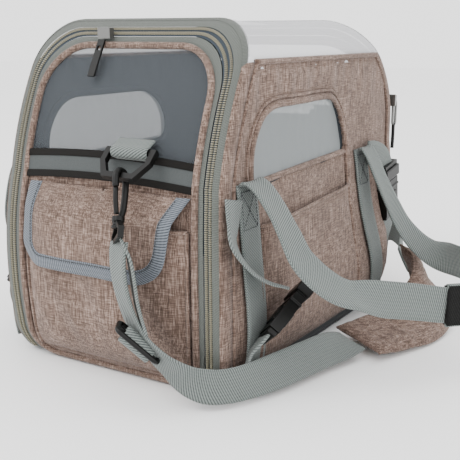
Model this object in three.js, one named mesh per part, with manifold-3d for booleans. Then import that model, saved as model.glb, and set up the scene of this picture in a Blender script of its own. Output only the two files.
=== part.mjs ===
// Soft-sided pet carrier bag: a drop-down mesh door at each end, a see-through top, side windows with
// slip pockets, a flap pocket on the front door, two carry handles, four side-release buckles and a
// shoulder strap with a pad. Millimetres, +Z up, front door towards -Y, origin at the bottom centre.
import * as THREE from 'three';
import { LoftGeometry } from 'three/addons/geometries/LoftGeometry.js';
import { mergeVertices } from 'three/addons/utils/BufferGeometryUtils.js';
import Module from 'manifold-3d';

// Driving dimensions of the bag.
const HALF_WIDTH = 111; // side panels, outside
const TOP_Z = 302; // crown of the two end hoops
const SIDE_TOP_Z = 267; // where the side panels end and the top window starts
// Each end's profile: y where it bulges most, then how it tucks in below one height and leans back
// above another. The rear end is fuller than the front.
const FRONT_END = { belly: 175, lowZ: 90, tuck: 8, tuckPower: 2, highZ: 90, span: 90, lean: 9.2, leanPower: 2.3 };
const REAR_END = { belly: 198, lowZ: 60, tuck: 51, tuckPower: 2.84, highZ: 200, span: 70, lean: 45, leanPower: 1.9 };
const BASE_THICK = 7;
const GAP = 0.3; // between pieces that touch
const FABRIC = 2.4;
const MESH = 1.2;
const WEBBING = 30; // width of every strap
const STRAP_THICK = 2.4;

// The doors: everything inside the zip.
const DOOR_HALF = 89;
const DOOR_FOOT_Z = 9;
const DOOR_TOP_Z = 280;
const BAND_LOW_Z = 167.5;
const BAND_HIGH_Z = 190;
const BAND_RISE = 5; // the band stands this much higher in the middle
const DOOR_OPEN_X = 112; // the shoulder strap leaves the doors' sweep at this X

const colours = {
  fabric: 0xa38c80, webbing: 0x87918e, tape: 0x969b96, base: 0x555a5c, mesh: 0xb9bbba,
  dark: 0x2d2d29, reflective: 0x7d8080, zip: 0xb4b09c, lining: 0x9a9c9b,
};

const carrier = new THREE.Group();
const paint = {};
for (const [name, color] of Object.entries(colours)) {
  const metalness = name === 'zip' ? 0.6 : 0;
  const roughness = name === 'dark' ? 0.4 : 0.85;
  paint[name] = new THREE.MeshStandardMaterial({ color, roughness, metalness });
}

function add(name, geometry, colour) {
  const mesh = new THREE.Mesh(geometry, paint[colour]);
  mesh.name = name;
  carrier.add(mesh);
  return mesh;
}

// ---- booleans -------------------------------------------------------------------------------
const wasm = await Module();
wasm.setup();

function toSolid(geometry) {
  const bare = new THREE.BufferGeometry().copy(geometry);
  bare.deleteAttribute('normal');
  bare.deleteAttribute('uv');
  const merged = mergeVertices(bare, 1e-4);
  const vertProperties = new Float32Array(merged.attributes.position.array);
  const triVerts = new Uint32Array(merged.index.array);
  return new wasm.Manifold(new wasm.Mesh({ numProp: 3, vertProperties, triVerts }));
}

function toGeometry(solid) {
  const { vertProperties, triVerts } = solid.getMesh();
  const geometry = new THREE.BufferGeometry();
  geometry.setAttribute('position', new THREE.BufferAttribute(vertProperties, 3));
  geometry.setIndex(new THREE.BufferAttribute(triVerts, 1));
  return geometry;
}

const cut = (a, ...tools) => toGeometry(tools.reduce((s, t) => s.subtract(toSolid(t)), toSolid(a)));
const join = (a, ...more) => toGeometry(more.reduce((s, t) => s.add(toSolid(t)), toSolid(a)));

// ---- building blocks ------------------------------------------------------------------------
// Turns a geometry's triangles over when they point inwards.
function facingOut(geometry) {
  const p = geometry.attributes.position;
  const at = (i) => new THREE.Vector3().fromBufferAttribute(p, geometry.index.getX(i));
  let volume = 0;
  for (let i = 0; i < geometry.index.count; i += 3) volume += at(i).dot(at(i + 1).cross(at(i + 2)));
  if (volume < 0) {
    const index = geometry.index;
    for (let i = 0; i < index.count; i += 3) {
      const first = index.getX(i);
      index.setX(i, index.getX(i + 1));
      index.setX(i + 1, first);
    }
  }
  return geometry;
}

// Skins a row of sections, each turned to run anticlockwise seen from the row's end.
function loft(sections) {
  const middle = (points) => points.reduce((sum, p) => sum.add(p), new THREE.Vector3())
    .divideScalar(points.length);
  const start = middle(sections[0]);
  const ahead = middle(sections[1]).sub(start);
  const normal = new THREE.Vector3();
  sections[0].forEach((p, i) => {
    const next = sections[0][(i + 1) % sections[0].length];
    normal.add(p.clone().sub(start).cross(next.clone().sub(start)));
  });
  const rows = normal.dot(ahead) < 0 ? sections.map((row) => [...row].reverse()) : sections;
  return new LoftGeometry(rows, { capStart: true, capEnd: true });
}

// A box whose grid of points is bent by place(u, v, w), each from -1 to 1.
function slab(nu, nv, nw, place) {
  const geometry = new THREE.BoxGeometry(2, 2, 2, nu, nv, nw);
  const p = geometry.attributes.position;
  for (let i = 0; i < p.count; i++) p.setXYZ(i, ...place(p.getX(i), p.getY(i), p.getZ(i)));
  return facingOut(geometry);
}

function block(cx, cy, cz, dx, dy, dz) {
  return new THREE.BoxGeometry(dx, dy, dz).translate(cx, cy, cz);
}

// A flat strap along a smooth curve; across(t) gives the way its width points at t = 0..1.
function strap(points, across, width = WEBBING, thick = STRAP_THICK, steps = 20, from = 0, to = 1) {
  const curve = new THREE.CatmullRomCurve3(points.map((p) => new THREE.Vector3(...p)), false, 'centripetal');
  const sections = [];
  for (let i = 0; i <= steps; i++) {
    const t = from + ((to - from) * i) / steps;
    const centre = curve.getPointAt(t);
    const along = curve.getTangentAt(t);
    const side = new THREE.Vector3(...across(t));
    side.addScaledVector(along, -side.dot(along)).normalize().multiplyScalar(width / 2);
    const up = new THREE.Vector3().crossVectors(side, along).normalize().multiplyScalar(thick / 2);
    sections.push([[-1, -1], [1, -1], [1, 1], [-1, 1]].map(([s, u]) => (
      centre.clone().addScaledVector(side, s).addScaledVector(up, u))));
  }
  return loft(sections);
}

// Blends a list of directions along a strap.
function turning(directions) {
  return (t) => {
    const at = t * (directions.length - 1);
    const i = Math.min(Math.floor(at), directions.length - 2);
    return directions[i].map((d, k) => d + (directions[i + 1][k] - d) * (at - i));
  };
}

// ---- the bag's outer form -------------------------------------------------------------------
// Distance of an end's face from the middle of the bag at height z. end is -1 for the front.
function endY(z, end) {
  const { belly, lowZ, tuck, tuckPower, highZ, span, lean, leanPower } = end < 0 ? FRONT_END : REAR_END;
  if (z < lowZ) return belly - tuck * ((lowZ - z) / lowZ) ** tuckPower;
  return belly - lean * (Math.max(0, z - highZ) / span) ** leanPower;
}

// Half the width of an end's outline at height z, with round lower and upper corners.
function outlineHalf(z, half, low, high, rLow, rHigh) {
  const bottom = Math.max(0, low + rLow - z);
  const top = Math.max(0, z - (high - rHigh));
  if (bottom > 0) return half - rLow + Math.sqrt(Math.max(0, rLow * rLow - bottom * bottom));
  return half - rHigh + Math.sqrt(Math.max(0, rHigh * rHigh - top * top));
}

// The arch of an end's outline over the top, from foot to foot, moved in by inset.
function archPath(inset, footZ) {
  const half = HALF_WIDTH - inset;
  const top = TOP_Z - inset;
  const round = 40;
  const path = new THREE.Path();
  path.moveTo(half, footZ);
  path.lineTo(half, top - round);
  path.absarc(half - round, top - round, round, 0, Math.PI / 2, false);
  path.lineTo(-half + round, top);
  path.absarc(-half + round, top - round, round, Math.PI / 2, Math.PI, false);
  path.lineTo(-half, footZ);
  return path;
}

const ARCH_STEPS = 44;

// A band that follows an end's arch: corners are [inset, depth behind the end's face].
function hoop(end, footZ, corners) {
  const paths = corners.map(([inset]) => archPath(inset, footZ));
  const sections = [];
  for (let i = 0; i <= ARCH_STEPS; i++) {
    sections.push(corners.map(([, depth], k) => {
      const p = paths[k].getPointAt(i / ARCH_STEPS);
      return new THREE.Vector3(p.x, end * (endY(p.y, end) - depth), p.y);
    }));
  }
  return loft(sections);
}

// A panel that follows an end's face between two heights, off mm in front of it.
function endPanel(end, low, high, half, off, thick, rLow, rHigh, nz = 12, rise = 0) {
  return slab(rise ? 8 : 1, 1, nz, (u, v, w) => {
    const z = low + ((high - low) * (w + 1)) / 2 + rise * (1 - u * u);
    const x = u * outlineHalf(z, half, low, high, rLow, rHigh);
    return [x, end * (endY(z, end) + off + (v * thick) / 2), z];
  });
}

// A flat side piece from an outline of [y, z] points, x from the inner face out.
function sidePlate(side, shape, inner, thick) {
  const geometry = new THREE.ExtrudeGeometry(shape, { depth: thick, bevelEnabled: false, curveSegments: 5 });
  const turned = new THREE.Matrix4().set(0, 0, side, side * inner, 1, 0, 0, 0, 0, 1, 0, 0, 0, 0, 0, 1);
  geometry.deleteAttribute('uv');
  const merged = mergeVertices(geometry.applyMatrix4(turned));
  return facingOut(merged);
}

// ---- base -----------------------------------------------------------------------------------
const BASE_HALF_X = 108;
const BASE_HALF_Y = 158;
const BASE_ROUND = 26;

function roundedPlate(halfX, halfY, round, low, thick) {
  const shape = new THREE.Shape();
  shape.moveTo(halfX, -halfY + round);
  shape.lineTo(halfX, halfY - round);
  shape.absarc(halfX - round, halfY - round, round, 0, Math.PI / 2, false);
  shape.absarc(-halfX + round, halfY - round, round, Math.PI / 2, Math.PI, false);
  shape.absarc(-halfX + round, -halfY + round, round, Math.PI, 1.5 * Math.PI, false);
  shape.absarc(halfX - round, -halfY + round, round, 1.5 * Math.PI, 2 * Math.PI, false);
  const geometry = new THREE.ExtrudeGeometry(shape, { depth: thick, bevelEnabled: false, curveSegments: 5 });
  return geometry.translate(0, 0, low);
}

add('base_panel', roundedPlate(BASE_HALF_X, BASE_HALF_Y, BASE_ROUND, 0, BASE_THICK), 'base');
const BOARD_LOW = BASE_THICK + GAP;
const BOARD_THICK = 2.5;
add('base_board', roundedPlate(98, 146, 20, BOARD_LOW, BOARD_THICK), 'dark');
const MAT_LOW = BOARD_LOW + BOARD_THICK + GAP;
const MAT_THICK = 14;
add('floor_mat', roundedPlate(96, 144, 22, MAT_LOW, MAT_THICK), 'lining');

// ---- sides ----------------------------------------------------------------------------------
const SIDE_FOOT_Z = BASE_THICK + GAP;
const HOOP_DEPTH = 17; // from an end's face back to the side panels
const HOOP_GAP = 1.3; // between a hoop and the pieces behind it

function sideOutline() {
  const shape = new THREE.Shape();
  const rows = 16;
  const edge = (z, end) => endY(z, end) - HOOP_DEPTH - HOOP_GAP;
  shape.moveTo(edge(SIDE_FOOT_Z, 1), SIDE_FOOT_Z);
  for (let i = 1; i <= rows; i++) {
    const z = SIDE_FOOT_Z + ((SIDE_TOP_Z - SIDE_FOOT_Z) * i) / rows;
    shape.lineTo(edge(z, 1), z);
  }
  for (let i = rows; i >= 0; i--) {
    const z = SIDE_FOOT_Z + ((SIDE_TOP_Z - SIDE_FOOT_Z) * i) / rows;
    shape.lineTo(-edge(z, -1), z);
  }
  return shape;
}

const WINDOW = { front: -120, rear: 64, top: 228, lowFront: 171, lowRear: 176, round: 44 };

// The side window: round upper corners, lower edge rising a little towards the rear.
function windowOutline(grow, Type = THREE.Shape) {
  const r = WINDOW.round + grow;
  const shape = new Type();
  const [front, rear, top] = [WINDOW.front - grow, WINDOW.rear + grow, WINDOW.top + grow];
  shape.moveTo(front, WINDOW.lowFront - grow);
  shape.lineTo(rear, WINDOW.lowRear - grow);
  shape.lineTo(rear, top - r);
  shape.absarc(rear - r, top - r, r, 0, Math.PI / 2, false);
  shape.absarc(front + r, top - r, r, Math.PI / 2, Math.PI, false);
  shape.lineTo(front, WINDOW.lowFront - grow);
  return shape;
}

const POCKET = { front: -116, rear: 66, low: 22, highFront: 135, highRear: 143, depth: 9 };

function pocketOutline(inset, raise) {
  const { front, rear, low, highFront, highRear } = POCKET;
  const shape = new THREE.Shape();
  shape.moveTo(front + inset, low + inset);
  shape.lineTo(rear - inset, low + inset);
  shape.lineTo(rear - inset, highRear + raise);
  shape.lineTo(front + inset, highFront + raise);
  shape.lineTo(front + inset, low + inset);
  return shape;
}

const WEBBING_TOP_Z = 174;
const WEBBING_X = HALF_WIDTH + GAP;
const WEBBING_FRONT_Y = -134;
const WEBBING_REAR_Y = 101;
const STRAP_LOW_Z = 10;

for (const [side, label] of [[1, 'right'], [-1, 'left']]) {
  const panel = sideOutline();
  panel.holes.push(windowOutline(0, THREE.Path));
  add(`side_panel_${label}`, sidePlate(side, panel, HALF_WIDTH - FABRIC, FABRIC), 'fabric');
  const pane = sidePlate(side, windowOutline(-GAP), HALF_WIDTH - FABRIC + 0.4, MESH);
  add(`side_window_${label}`, pane, 'mesh');
  const whole = sidePlate(side, pocketOutline(0, 0), HALF_WIDTH + GAP, POCKET.depth);
  const hollow = sidePlate(side, pocketOutline(FABRIC, 20), HALF_WIDTH - 1, POCKET.depth + 1.3 - FABRIC);
  add(`side_pocket_${label}`, cut(whole, hollow), 'fabric');
  for (const [y, place] of [[WEBBING_FRONT_Y, 'front'], [WEBBING_REAR_Y, 'rear']]) {
    const x = side * (WEBBING_X + STRAP_THICK / 2);
    const tall = WEBBING_TOP_Z - STRAP_LOW_Z;
    const high = (WEBBING_TOP_Z + STRAP_LOW_Z) / 2;
    add(`webbing_${place}_${label}`, block(x, y, high, STRAP_THICK, WEBBING, tall), 'webbing');
  }
}

// ---- end hoops and top ----------------------------------------------------------------------
const HOOP_FOOT_Z = BASE_THICK + 2;
const HOOP_SECTION = [[12, 1.5], [3, 6], [0, HOOP_DEPTH], [2.6, HOOP_DEPTH], [5, 9], [12, 4.5]];
add('front_hoop', hoop(-1, HOOP_FOOT_Z, HOOP_SECTION), 'tape');
add('rear_hoop', hoop(1, HOOP_FOOT_Z, HOOP_SECTION), 'tape');

const TOP_STEPS = 20;

function topCover() {
  const footZ = SIDE_TOP_Z - 12;
  const paths = [archPath(0, footZ), archPath(MESH + 1, footZ)];
  const skips = paths.map((path) => (SIDE_TOP_Z + 3 * GAP - footZ) / path.getLength());
  return slab(TOP_STEPS, 8, 1, (u, v, w) => {
    const k = w > 0 ? 0 : 1;
    const t = skips[k] + ((1 - 2 * skips[k]) * (1 - u)) / 2;
    const p = paths[k].getPointAt(t);
    return [p.x, v * (endY(p.y, v) - HOOP_DEPTH - HOOP_GAP), p.y];
  });
}
add('top_window', topCover(), 'mesh');

// ---- doors ----------------------------------------------------------------------------------
const FRAME_SECTION = [[22.4, 0], [14, 0.6], [13, 4], [22.4, 3.4]];
const DOOR_SKIN = 3.9; // the panels lie this far behind the door's front face

function door(end, label) {
  const back = -DOOR_SKIN / 2;
  const fabricTop = BAND_LOW_Z - GAP;
  const windowLow = BAND_LOW_Z;
  const half = DOOR_HALF - 0.6;
  add(`${label}_door_panel`, endPanel(end, DOOR_FOOT_Z, fabricTop, half, back, FABRIC, 16, 0.01), 'fabric');
  const mesh = endPanel(end, windowLow, DOOR_TOP_Z - 2.4, half - 1, back, MESH, 0.01, 42, 16);
  add(`${label}_door_window`, mesh, 'mesh');
  const band = endPanel(end, BAND_LOW_Z, BAND_HIGH_Z, half - 1, 0.9, 1.4, 0.01, 0.01, 3, BAND_RISE);
  add(`${label}_door_band`, band, 'reflective');
  add(`${label}_door_frame`, hoop(end, DOOR_FOOT_Z, FRAME_SECTION), 'tape');
}
door(-1, 'front');
door(1, 'rear');

// The front door's flap pocket.
const CARGO = { left: -80, right: 82, low: 13, high: 138, depth: 12 };

function cargoBlock(inset, high, near, far) {
  const { left, right, low } = CARGO;
  return slab(2, 1, 10, (u, v, w) => {
    const z = low + inset + ((high - low - inset) * (w + 1)) / 2;
    const x = (left + right) / 2 + (u * (right - left - 2 * inset)) / 2;
    return [x, -(endY(z, -1) + near + ((far - near) * (v + 1)) / 2), z];
  });
}
const cargoWhole = cargoBlock(0, CARGO.high, GAP, CARGO.depth);
const cargoHollow = cargoBlock(FABRIC, CARGO.high + 12, GAP + FABRIC, CARGO.depth - FABRIC);
add('cargo_pocket', cut(cargoWhole, cargoHollow), 'fabric');

const FLAP = { left: -79, right: 83, low: 94, high: 165, round: 22 };
const FLAP_OFF = CARGO.depth + 0.6;
function flapBlock() {
  const { left, right, low, high, round } = FLAP;
  const hung = (z) => Math.min(1, (high - z) / 26);
  return slab(6, 1, 12, (u, v, w) => {
    const z = low + ((high - low) * (w + 1)) / 2;
    const half = outlineHalf(z, (right - left) / 2, low, high, round, 0.01);
    const off = 2.5 + (FLAP_OFF - 2.5) * hung(z) + ((v + 1) * FABRIC) / 2;
    return [(left + right) / 2 + u * half, -(endY(z, -1) + off), z];
  });
}
add('pocket_flap', flapBlock(), 'fabric');

// ---- D-rings, keepers and snap hooks ----------------------------------------------------------
const RING_X = 30;
const RING_Z = 197; // the ring's upper bar
const RING_BAR = 5;
const RING_HALF = 22;
const RING_DROP = 24;
const RING_OFF = 10; // from the door's face to the bar
const RING_TILT = Math.PI / 4; // the hook holds the ring out from the door
const KEEPER_WIDE = 33;
const KEEPER_FOOT = 3.4; // from the door's face to the keeper's foot

function polygon(points, Type = THREE.Shape) {
  return new Type().setFromPoints(points.map(([x, y]) => new THREE.Vector2(x, y)));
}

function ringShape() {
  const [w, h, b] = [RING_HALF + RING_BAR / 2, RING_DROP, RING_BAR];
  const knee = -h * 0.45;
  const foot = -h - b / 2;
  const shape = polygon([[-w, b / 2], [w, b / 2], [w, knee], [w - 9, foot], [-w + 9, foot], [-w, knee]]);
  const top = -b / 2;
  const low = -h + b / 2;
  const inner = [[-w + b, top], [-w + b, knee], [-w + 12, low], [w - 12, low], [w - b, knee], [w - b, top]];
  shape.holes.push(polygon(inner, THREE.Path));
  return shape;
}

// A webbing loop round the ring's upper bar, drawn outwards from the door and up.
function keeperShape() {
  const r = RING_BAR / 2 + 2.8;
  const shape = new THREE.Shape();
  shape.absarc(0, 0, r, -Math.PI / 2, Math.PI / 2, false);
  shape.lineTo(KEEPER_FOOT - RING_OFF, r);
  shape.lineTo(KEEPER_FOOT - RING_OFF, -r);
  const hole = new THREE.Path();
  hole.absarc(0, 0, RING_BAR * Math.SQRT1_2 + GAP, 0, 2 * Math.PI, false);
  shape.holes.push(hole);
  return shape;
}

const HOOK = { bow: 6.5, bar: 4, shaft: 34, nose: 6, foot: 5, wide: 7 };
const HOOK_LEAN = [-0.213, 0.408, 0.888]; // up the hook: across the bag, in towards the door, up
const HOOK_Z = RING_Z - RING_DROP * Math.cos(RING_TILT) - 2;
const EYE_TURN = [0.69, 0.72]; // the eye lies half across the bag, half out from the door

// The hook: a bow over the ring's lower bar, a shaft on the door's side and a foot for the swivel.
function hookShape() {
  const { bow, bar, shaft, nose, foot } = HOOK;
  const shape = new THREE.Shape();
  shape.moveTo(-bow - bar, -shaft);
  shape.lineTo(bow + bar, -shaft);
  shape.lineTo(bow + bar, -shaft + foot);
  shape.lineTo(-bow, -shaft + foot);
  shape.lineTo(-bow, 0);
  shape.absarc(0, 0, bow, Math.PI, 0, true);
  shape.lineTo(bow, -nose);
  shape.lineTo(bow + bar, -nose);
  shape.lineTo(bow + bar, 0);
  shape.absarc(0, 0, bow + bar, 0, Math.PI, false);
  return shape;
}

// The sprung gate closes the hook between its nose and its foot.
function gateShape() {
  const { bow, shaft, nose, foot } = HOOK;
  const low = -shaft + foot + GAP + 0.1;
  const high = -nose - GAP - 0.1;
  return polygon([[bow + 0.4, low], [bow + 3.6, low], [bow + 3.6, high], [bow + 0.4, high]]);
}

const EYE = { half: 17, bar: 3.5, drop: 16, knee: 7, neck: 6, thick: 4.5 };

// The strap's eye turns on the hook's foot, drawn across the bag and up.
function eyeShape() {
  const { half, bar, drop, knee, neck } = EYE;
  const wide = half + bar;
  const shape = polygon([[-neck, 0], [-wide, -knee], [-wide, -drop], [wide, -drop], [wide, -knee], [neck, 0]]);
  const low = -drop + bar;
  const inner = [[-4, -4], [4, -4], [half, -8.5], [half, low], [-half, low], [-half, -8.5]];
  shape.holes.push(polygon(inner, THREE.Path));
  return shape;
}

// Extrudes a shape by depth, centred on it, with the shape's axes along ex and ey in the bag.
function plateAt(shape, depth, ex, ey, place) {
  const geometry = new THREE.ExtrudeGeometry(shape, { depth, bevelEnabled: false, curveSegments: 6 });
  geometry.deleteAttribute('normal');
  geometry.deleteAttribute('uv');
  const [x, y] = [new THREE.Vector3(...ex).normalize(), new THREE.Vector3(...ey).normalize()];
  const basis = new THREE.Matrix4().makeBasis(x, y, new THREE.Vector3().crossVectors(x, y));
  basis.setPosition(new THREE.Vector3(...place));
  return facingOut(mergeVertices(geometry.translate(0, 0, -depth / 2).applyMatrix4(basis)));
}

// The part of a direction that is square to up.
function squareTo(up, way) {
  const axis = new THREE.Vector3(...up).normalize();
  const flat = new THREE.Vector3(...way);
  return flat.addScaledVector(axis, -flat.dot(axis)).toArray();
}

function ringAndHook(end, label) {
  const ringY = endY(RING_Z, end) + RING_OFF;
  const hookY = ringY + RING_DROP * Math.sin(RING_TILT);
  const keeperAt = [RING_X, end * ringY, RING_Z];
  const keeper = plateAt(keeperShape(), KEEPER_WIDE, [0, end, 0], [0, 0, 1], keeperAt);
  add(`${label}_ring_keeper`, keeper, 'webbing');
  const ringUp = [0, -end * Math.sin(RING_TILT), Math.cos(RING_TILT)];
  add(`${label}_d_ring`, plateAt(ringShape(), RING_BAR, [1, 0, 0], ringUp, keeperAt), 'dark');
  const hookUp = [HOOK_LEAN[0], -end * HOOK_LEAN[1], HOOK_LEAN[2]];
  const hookOut = squareTo(hookUp, [0, end, 0]);
  const hookAt = [RING_X + 2, end * hookY, HOOK_Z];
  add(`${label}_snap_hook`, plateAt(hookShape(), HOOK.wide, hookOut, hookUp, hookAt), 'dark');
  add(`${label}_hook_gate`, plateAt(gateShape(), HOOK.wide - 2, hookOut, hookUp, hookAt), 'dark');
  const eyeAt = hookAt.map((c, i) => c - (HOOK.shaft + 1) * hookUp[i]);
  const eyeAcross = squareTo(hookUp, [EYE_TURN[0], end * EYE_TURN[1], 0]);
  add(`${label}_hook_eye`, plateAt(eyeShape(), EYE.thick, eyeAcross, hookUp, eyeAt), 'dark');
}
ringAndHook(-1, 'front');
ringAndHook(1, 'rear');

// ---- shoulder strap ---------------------------------------------------------------------------
// Keeps only what lies on one side of a plane of constant X: the doors' sweep ends there.
function trim(geometry, x, side) {
  const size = 400;
  return cut(geometry, block(x + (side * size) / 2, 0, 0, size, 2 * size, 2 * size));
}

const FRONT_HANG = [
  [47, -213, 120], [47, -212.5, 105], [49.5, -211, 88], [56, -209, 69], [65, -207, 54.5],
  [76, -205, 44], [89, -202, 34.5], [101, -196, 26],
];
const SIDE_RUN = [
  [113, -187, 21], [124, -173, 19.5], [133, -151, 19], [141, -122, 18.6], [148, -92, 18.4],
  [154, -62, 17.6], [158.6, -37, 15.4], [161, -19, 13],
];
const frontWidth = turning([
  [0.69, -0.72, 0], [0.69, -0.72, 0], [0.66, -0.7, 0.25], [0.5, -0.45, 0.75], [0.15, 0.05, 1], [-0.1, 0, 1],
]);
const sideWidth = turning([[-0.1, 0, 1], [-0.4, 0, 0.9], [-0.45, 0, 0.85], [-0.9, -0.2, 0.5], [-0.85, -0.5, 0.25]]);
const frontStrap = strap([...FRONT_HANG, ...SIDE_RUN.slice(0, 2)], frontWidth, WEBBING, STRAP_THICK, 22);
add('strap_front', trim(frontStrap, DOOR_OPEN_X, 1), 'webbing');
const sideStrap = strap([...FRONT_HANG.slice(-1), ...SIDE_RUN], sideWidth, WEBBING, STRAP_THICK, 20);
add('strap_side', trim(sideStrap, DOOR_OPEN_X + GAP, -1), 'webbing');

const PAD_RUN = [[163, -11, 12], [178, 22, 12], [193, 58, 16], [196, 96, 26], [180, 128, 38], [154, 146, 46]];
const PAD_WIDTH = turning([
  [-0.85, 0.5, 0.12], [-0.9, 0.35, 0.25], [-0.8, 0.1, 0.6], [-0.5, -0.3, 0.8], [-0.3, -0.4, 0.9],
]);
const PAD_WIDE = 58;
const PAD_THICK = 9;

function padGeometry() {
  const curve = new THREE.CatmullRomCurve3(PAD_RUN.map((p) => new THREE.Vector3(...p)), false, 'centripetal');
  const steps = 14;
  const sections = [];
  for (let i = 0; i <= steps; i++) {
    const t = i / steps;
    const centre = curve.getPointAt(t);
    const along = curve.getTangentAt(t);
    const side = new THREE.Vector3(...PAD_WIDTH(t));
    side.addScaledVector(along, -side.dot(along)).normalize();
    const up = new THREE.Vector3().crossVectors(side, along).normalize();
    const [a, b] = [PAD_WIDE / 2, PAD_THICK / 2];
    const half = [[-a, -b / 2], [-a + 6, -b], [a - 6, -b], [a, -b / 2]];
    const rim = [...half, ...half.map(([s, u]) => [-s, -u])];
    sections.push(rim.map(([s, u]) => centre.clone().addScaledVector(side, s).addScaledVector(up, u)));
  }
  return loft(sections);
}
add('shoulder_pad', padGeometry(), 'fabric');

const REAR_RUN = [[148.5, 151, 47.8], [142, 168, 50], [132, 194, 54], [121, 214, 60]];
const REAR_HANG = [
  [106, 229, 63], [91, 238, 58], [75, 244, 54], [58, 247.5, 60], [49, 249, 80], [47, 249.7, 100], [47, 249.7, 120],
];
const rearSideWidth = turning([[-0.3, -0.4, 0.9], [-0.2, -0.2, 1], [0, 0, 1], [0.2, 0, 1]]);
const rearWidth = turning([[0, 0, 1], [0.3, 0, 1], [0.6, 0.3, 0.8], [0.69, 0.72, 0.2], [0.69, 0.72, 0]]);
const rearSide = strap([...REAR_RUN, REAR_HANG[0]], rearSideWidth, WEBBING, STRAP_THICK, 12);
add('strap_rear_side', trim(rearSide, DOOR_OPEN_X + GAP, -1), 'webbing');
const rearStrap = strap([...REAR_RUN.slice(-2), ...REAR_HANG], rearWidth, WEBBING, STRAP_THICK, 22);
add('strap_rear', trim(rearStrap, DOOR_OPEN_X, 1), 'webbing');

// The adjuster lies on the left face of the strap, its bars across it.
const GLIDE = { wide: 41, long: 33, thick: 3.2, rim: 4, slot: 7 };

function triGlide() {
  const [w, h] = [GLIDE.wide / 2, GLIDE.long / 2];
  const shape = polygon([[-w, -h], [w, -h], [w, h], [-w, h]]);
  for (const side of [-1, 1]) {
    const near = side * (h - GLIDE.rim);
    const far = side * (h - GLIDE.rim - GLIDE.slot);
    const inner = w - GLIDE.rim;
    shape.holes.push(polygon([[-inner, near], [-inner, far], [inner, far], [inner, near]], THREE.Path));
  }
  return shape;
}
const GLIDE_ALONG = [-0.45, -0.06, 0.89];
const GLIDE_AT = [57.5, -212.8, 60];
const glideAcross = squareTo(GLIDE_ALONG, [0.66, -0.7, 0.25]);
add('tri_glide', plateAt(triGlide(), GLIDE.thick, glideAcross, GLIDE_ALONG, GLIDE_AT), 'dark');

// ---- carry handles ----------------------------------------------------------------------------
const RIGHT_FRONT = [
  [115.6, -134, 174.4], [119, -133.8, 176.4], [126, -133, 173], [140, -133, 157], [154, -136, 138], [167, -137, 118],
  [189, -122, 95], [212, -97, 85], [232, -70, 78], [250, -49.5, 71.6],
];
const RIGHT_FRONT_WIDTH = turning([[0, 1, 0], [0, 1, 0], [0.1, 1, 0.2], [0.1, 1, 0.2], [-0.1, 0.2, 1], [-0.1, 0, 1]]);
const RIGHT_REAR = [
  [115.6, 101, 174.4], [119, 101.4, 175.6], [125, 103, 168], [134, 107, 146], [146, 111, 120], [160, 110, 98],
  [180, 104, 82], [204, 92, 76], [230, 74, 76], [256, 54, 76],
];
const RIGHT_REAR_WIDTH = turning([[0, 1, 0], [0, 1, 0], [0.1, 1, 0.1], [0.2, 0.8, 0.3], [0, 0.2, 1], [-0.1, 0, 1]]);
const RIGHT_GRIP = [[253, -44.4, 70.8], [268, -24, 70], [275, 4, 72], [270, 34, 75], [257, 52.6, 76]];
const LEFT_FRONT = [
  [115.6, -134, 174.4], [119, -133.8, 176], [128, -132, 168], [144, -125, 142], [162, -110, 108], [168, -88, 72],
  [168, -62, 48],
];
const LEFT_REAR = [
  [115.6, 101, 174.4], [119, 101, 176], [126, 101, 168], [138, 101, 142], [154, 102, 108], [161, 86, 72],
  [161, 63, 48.6],
];
const LEFT_GRIP = [[168, -58, 45], [162, -34, 32], [162, 0, 27], [162, 34, 32], [161, 58, 45]];
const HANGING_WIDTH = turning([[0, 1, 0], [0, 1, 0], [0, 1, 0.1], [0, 0.8, 0.5]]);

function grip(points, across) {
  return strap(points, across, WEBBING + 4, 9, 10);
}

add('handle_right_front', strap(RIGHT_FRONT, RIGHT_FRONT_WIDTH, WEBBING, STRAP_THICK, 26), 'webbing');
add('handle_right_rear', strap(RIGHT_REAR, RIGHT_REAR_WIDTH, WEBBING, STRAP_THICK, 26), 'webbing');
add('handle_right_grip', grip(RIGHT_GRIP, turning([[-0.1, 0, 1], [-0.1, 0, 1]])), 'dark');
const flipX = (points) => points.map(([x, y, z]) => [-x, y, z]);
const flipZ = ([x, y, z]) => [x, y, -z];
add('handle_left_front', strap(flipX(LEFT_FRONT), HANGING_WIDTH, WEBBING, STRAP_THICK, 16), 'webbing');
const rearHanging = (t) => flipZ(HANGING_WIDTH(t));
add('handle_left_rear', strap(flipX(LEFT_REAR), rearHanging, WEBBING, STRAP_THICK, 16), 'webbing');
const GRIP_WIDTH = turning([[0, 0.5, 0.8], [0, 0, 1], [0, -0.5, 0.8]]);
add('handle_left_grip', grip(flipX(LEFT_GRIP), GRIP_WIDTH), 'dark');

// ---- side-release buckles ---------------------------------------------------------------------
const BUCKLE = { wide: 34, thick: 10, socket: 38, plug: 18, tongue: 28, gap: 0.6 };

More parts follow.
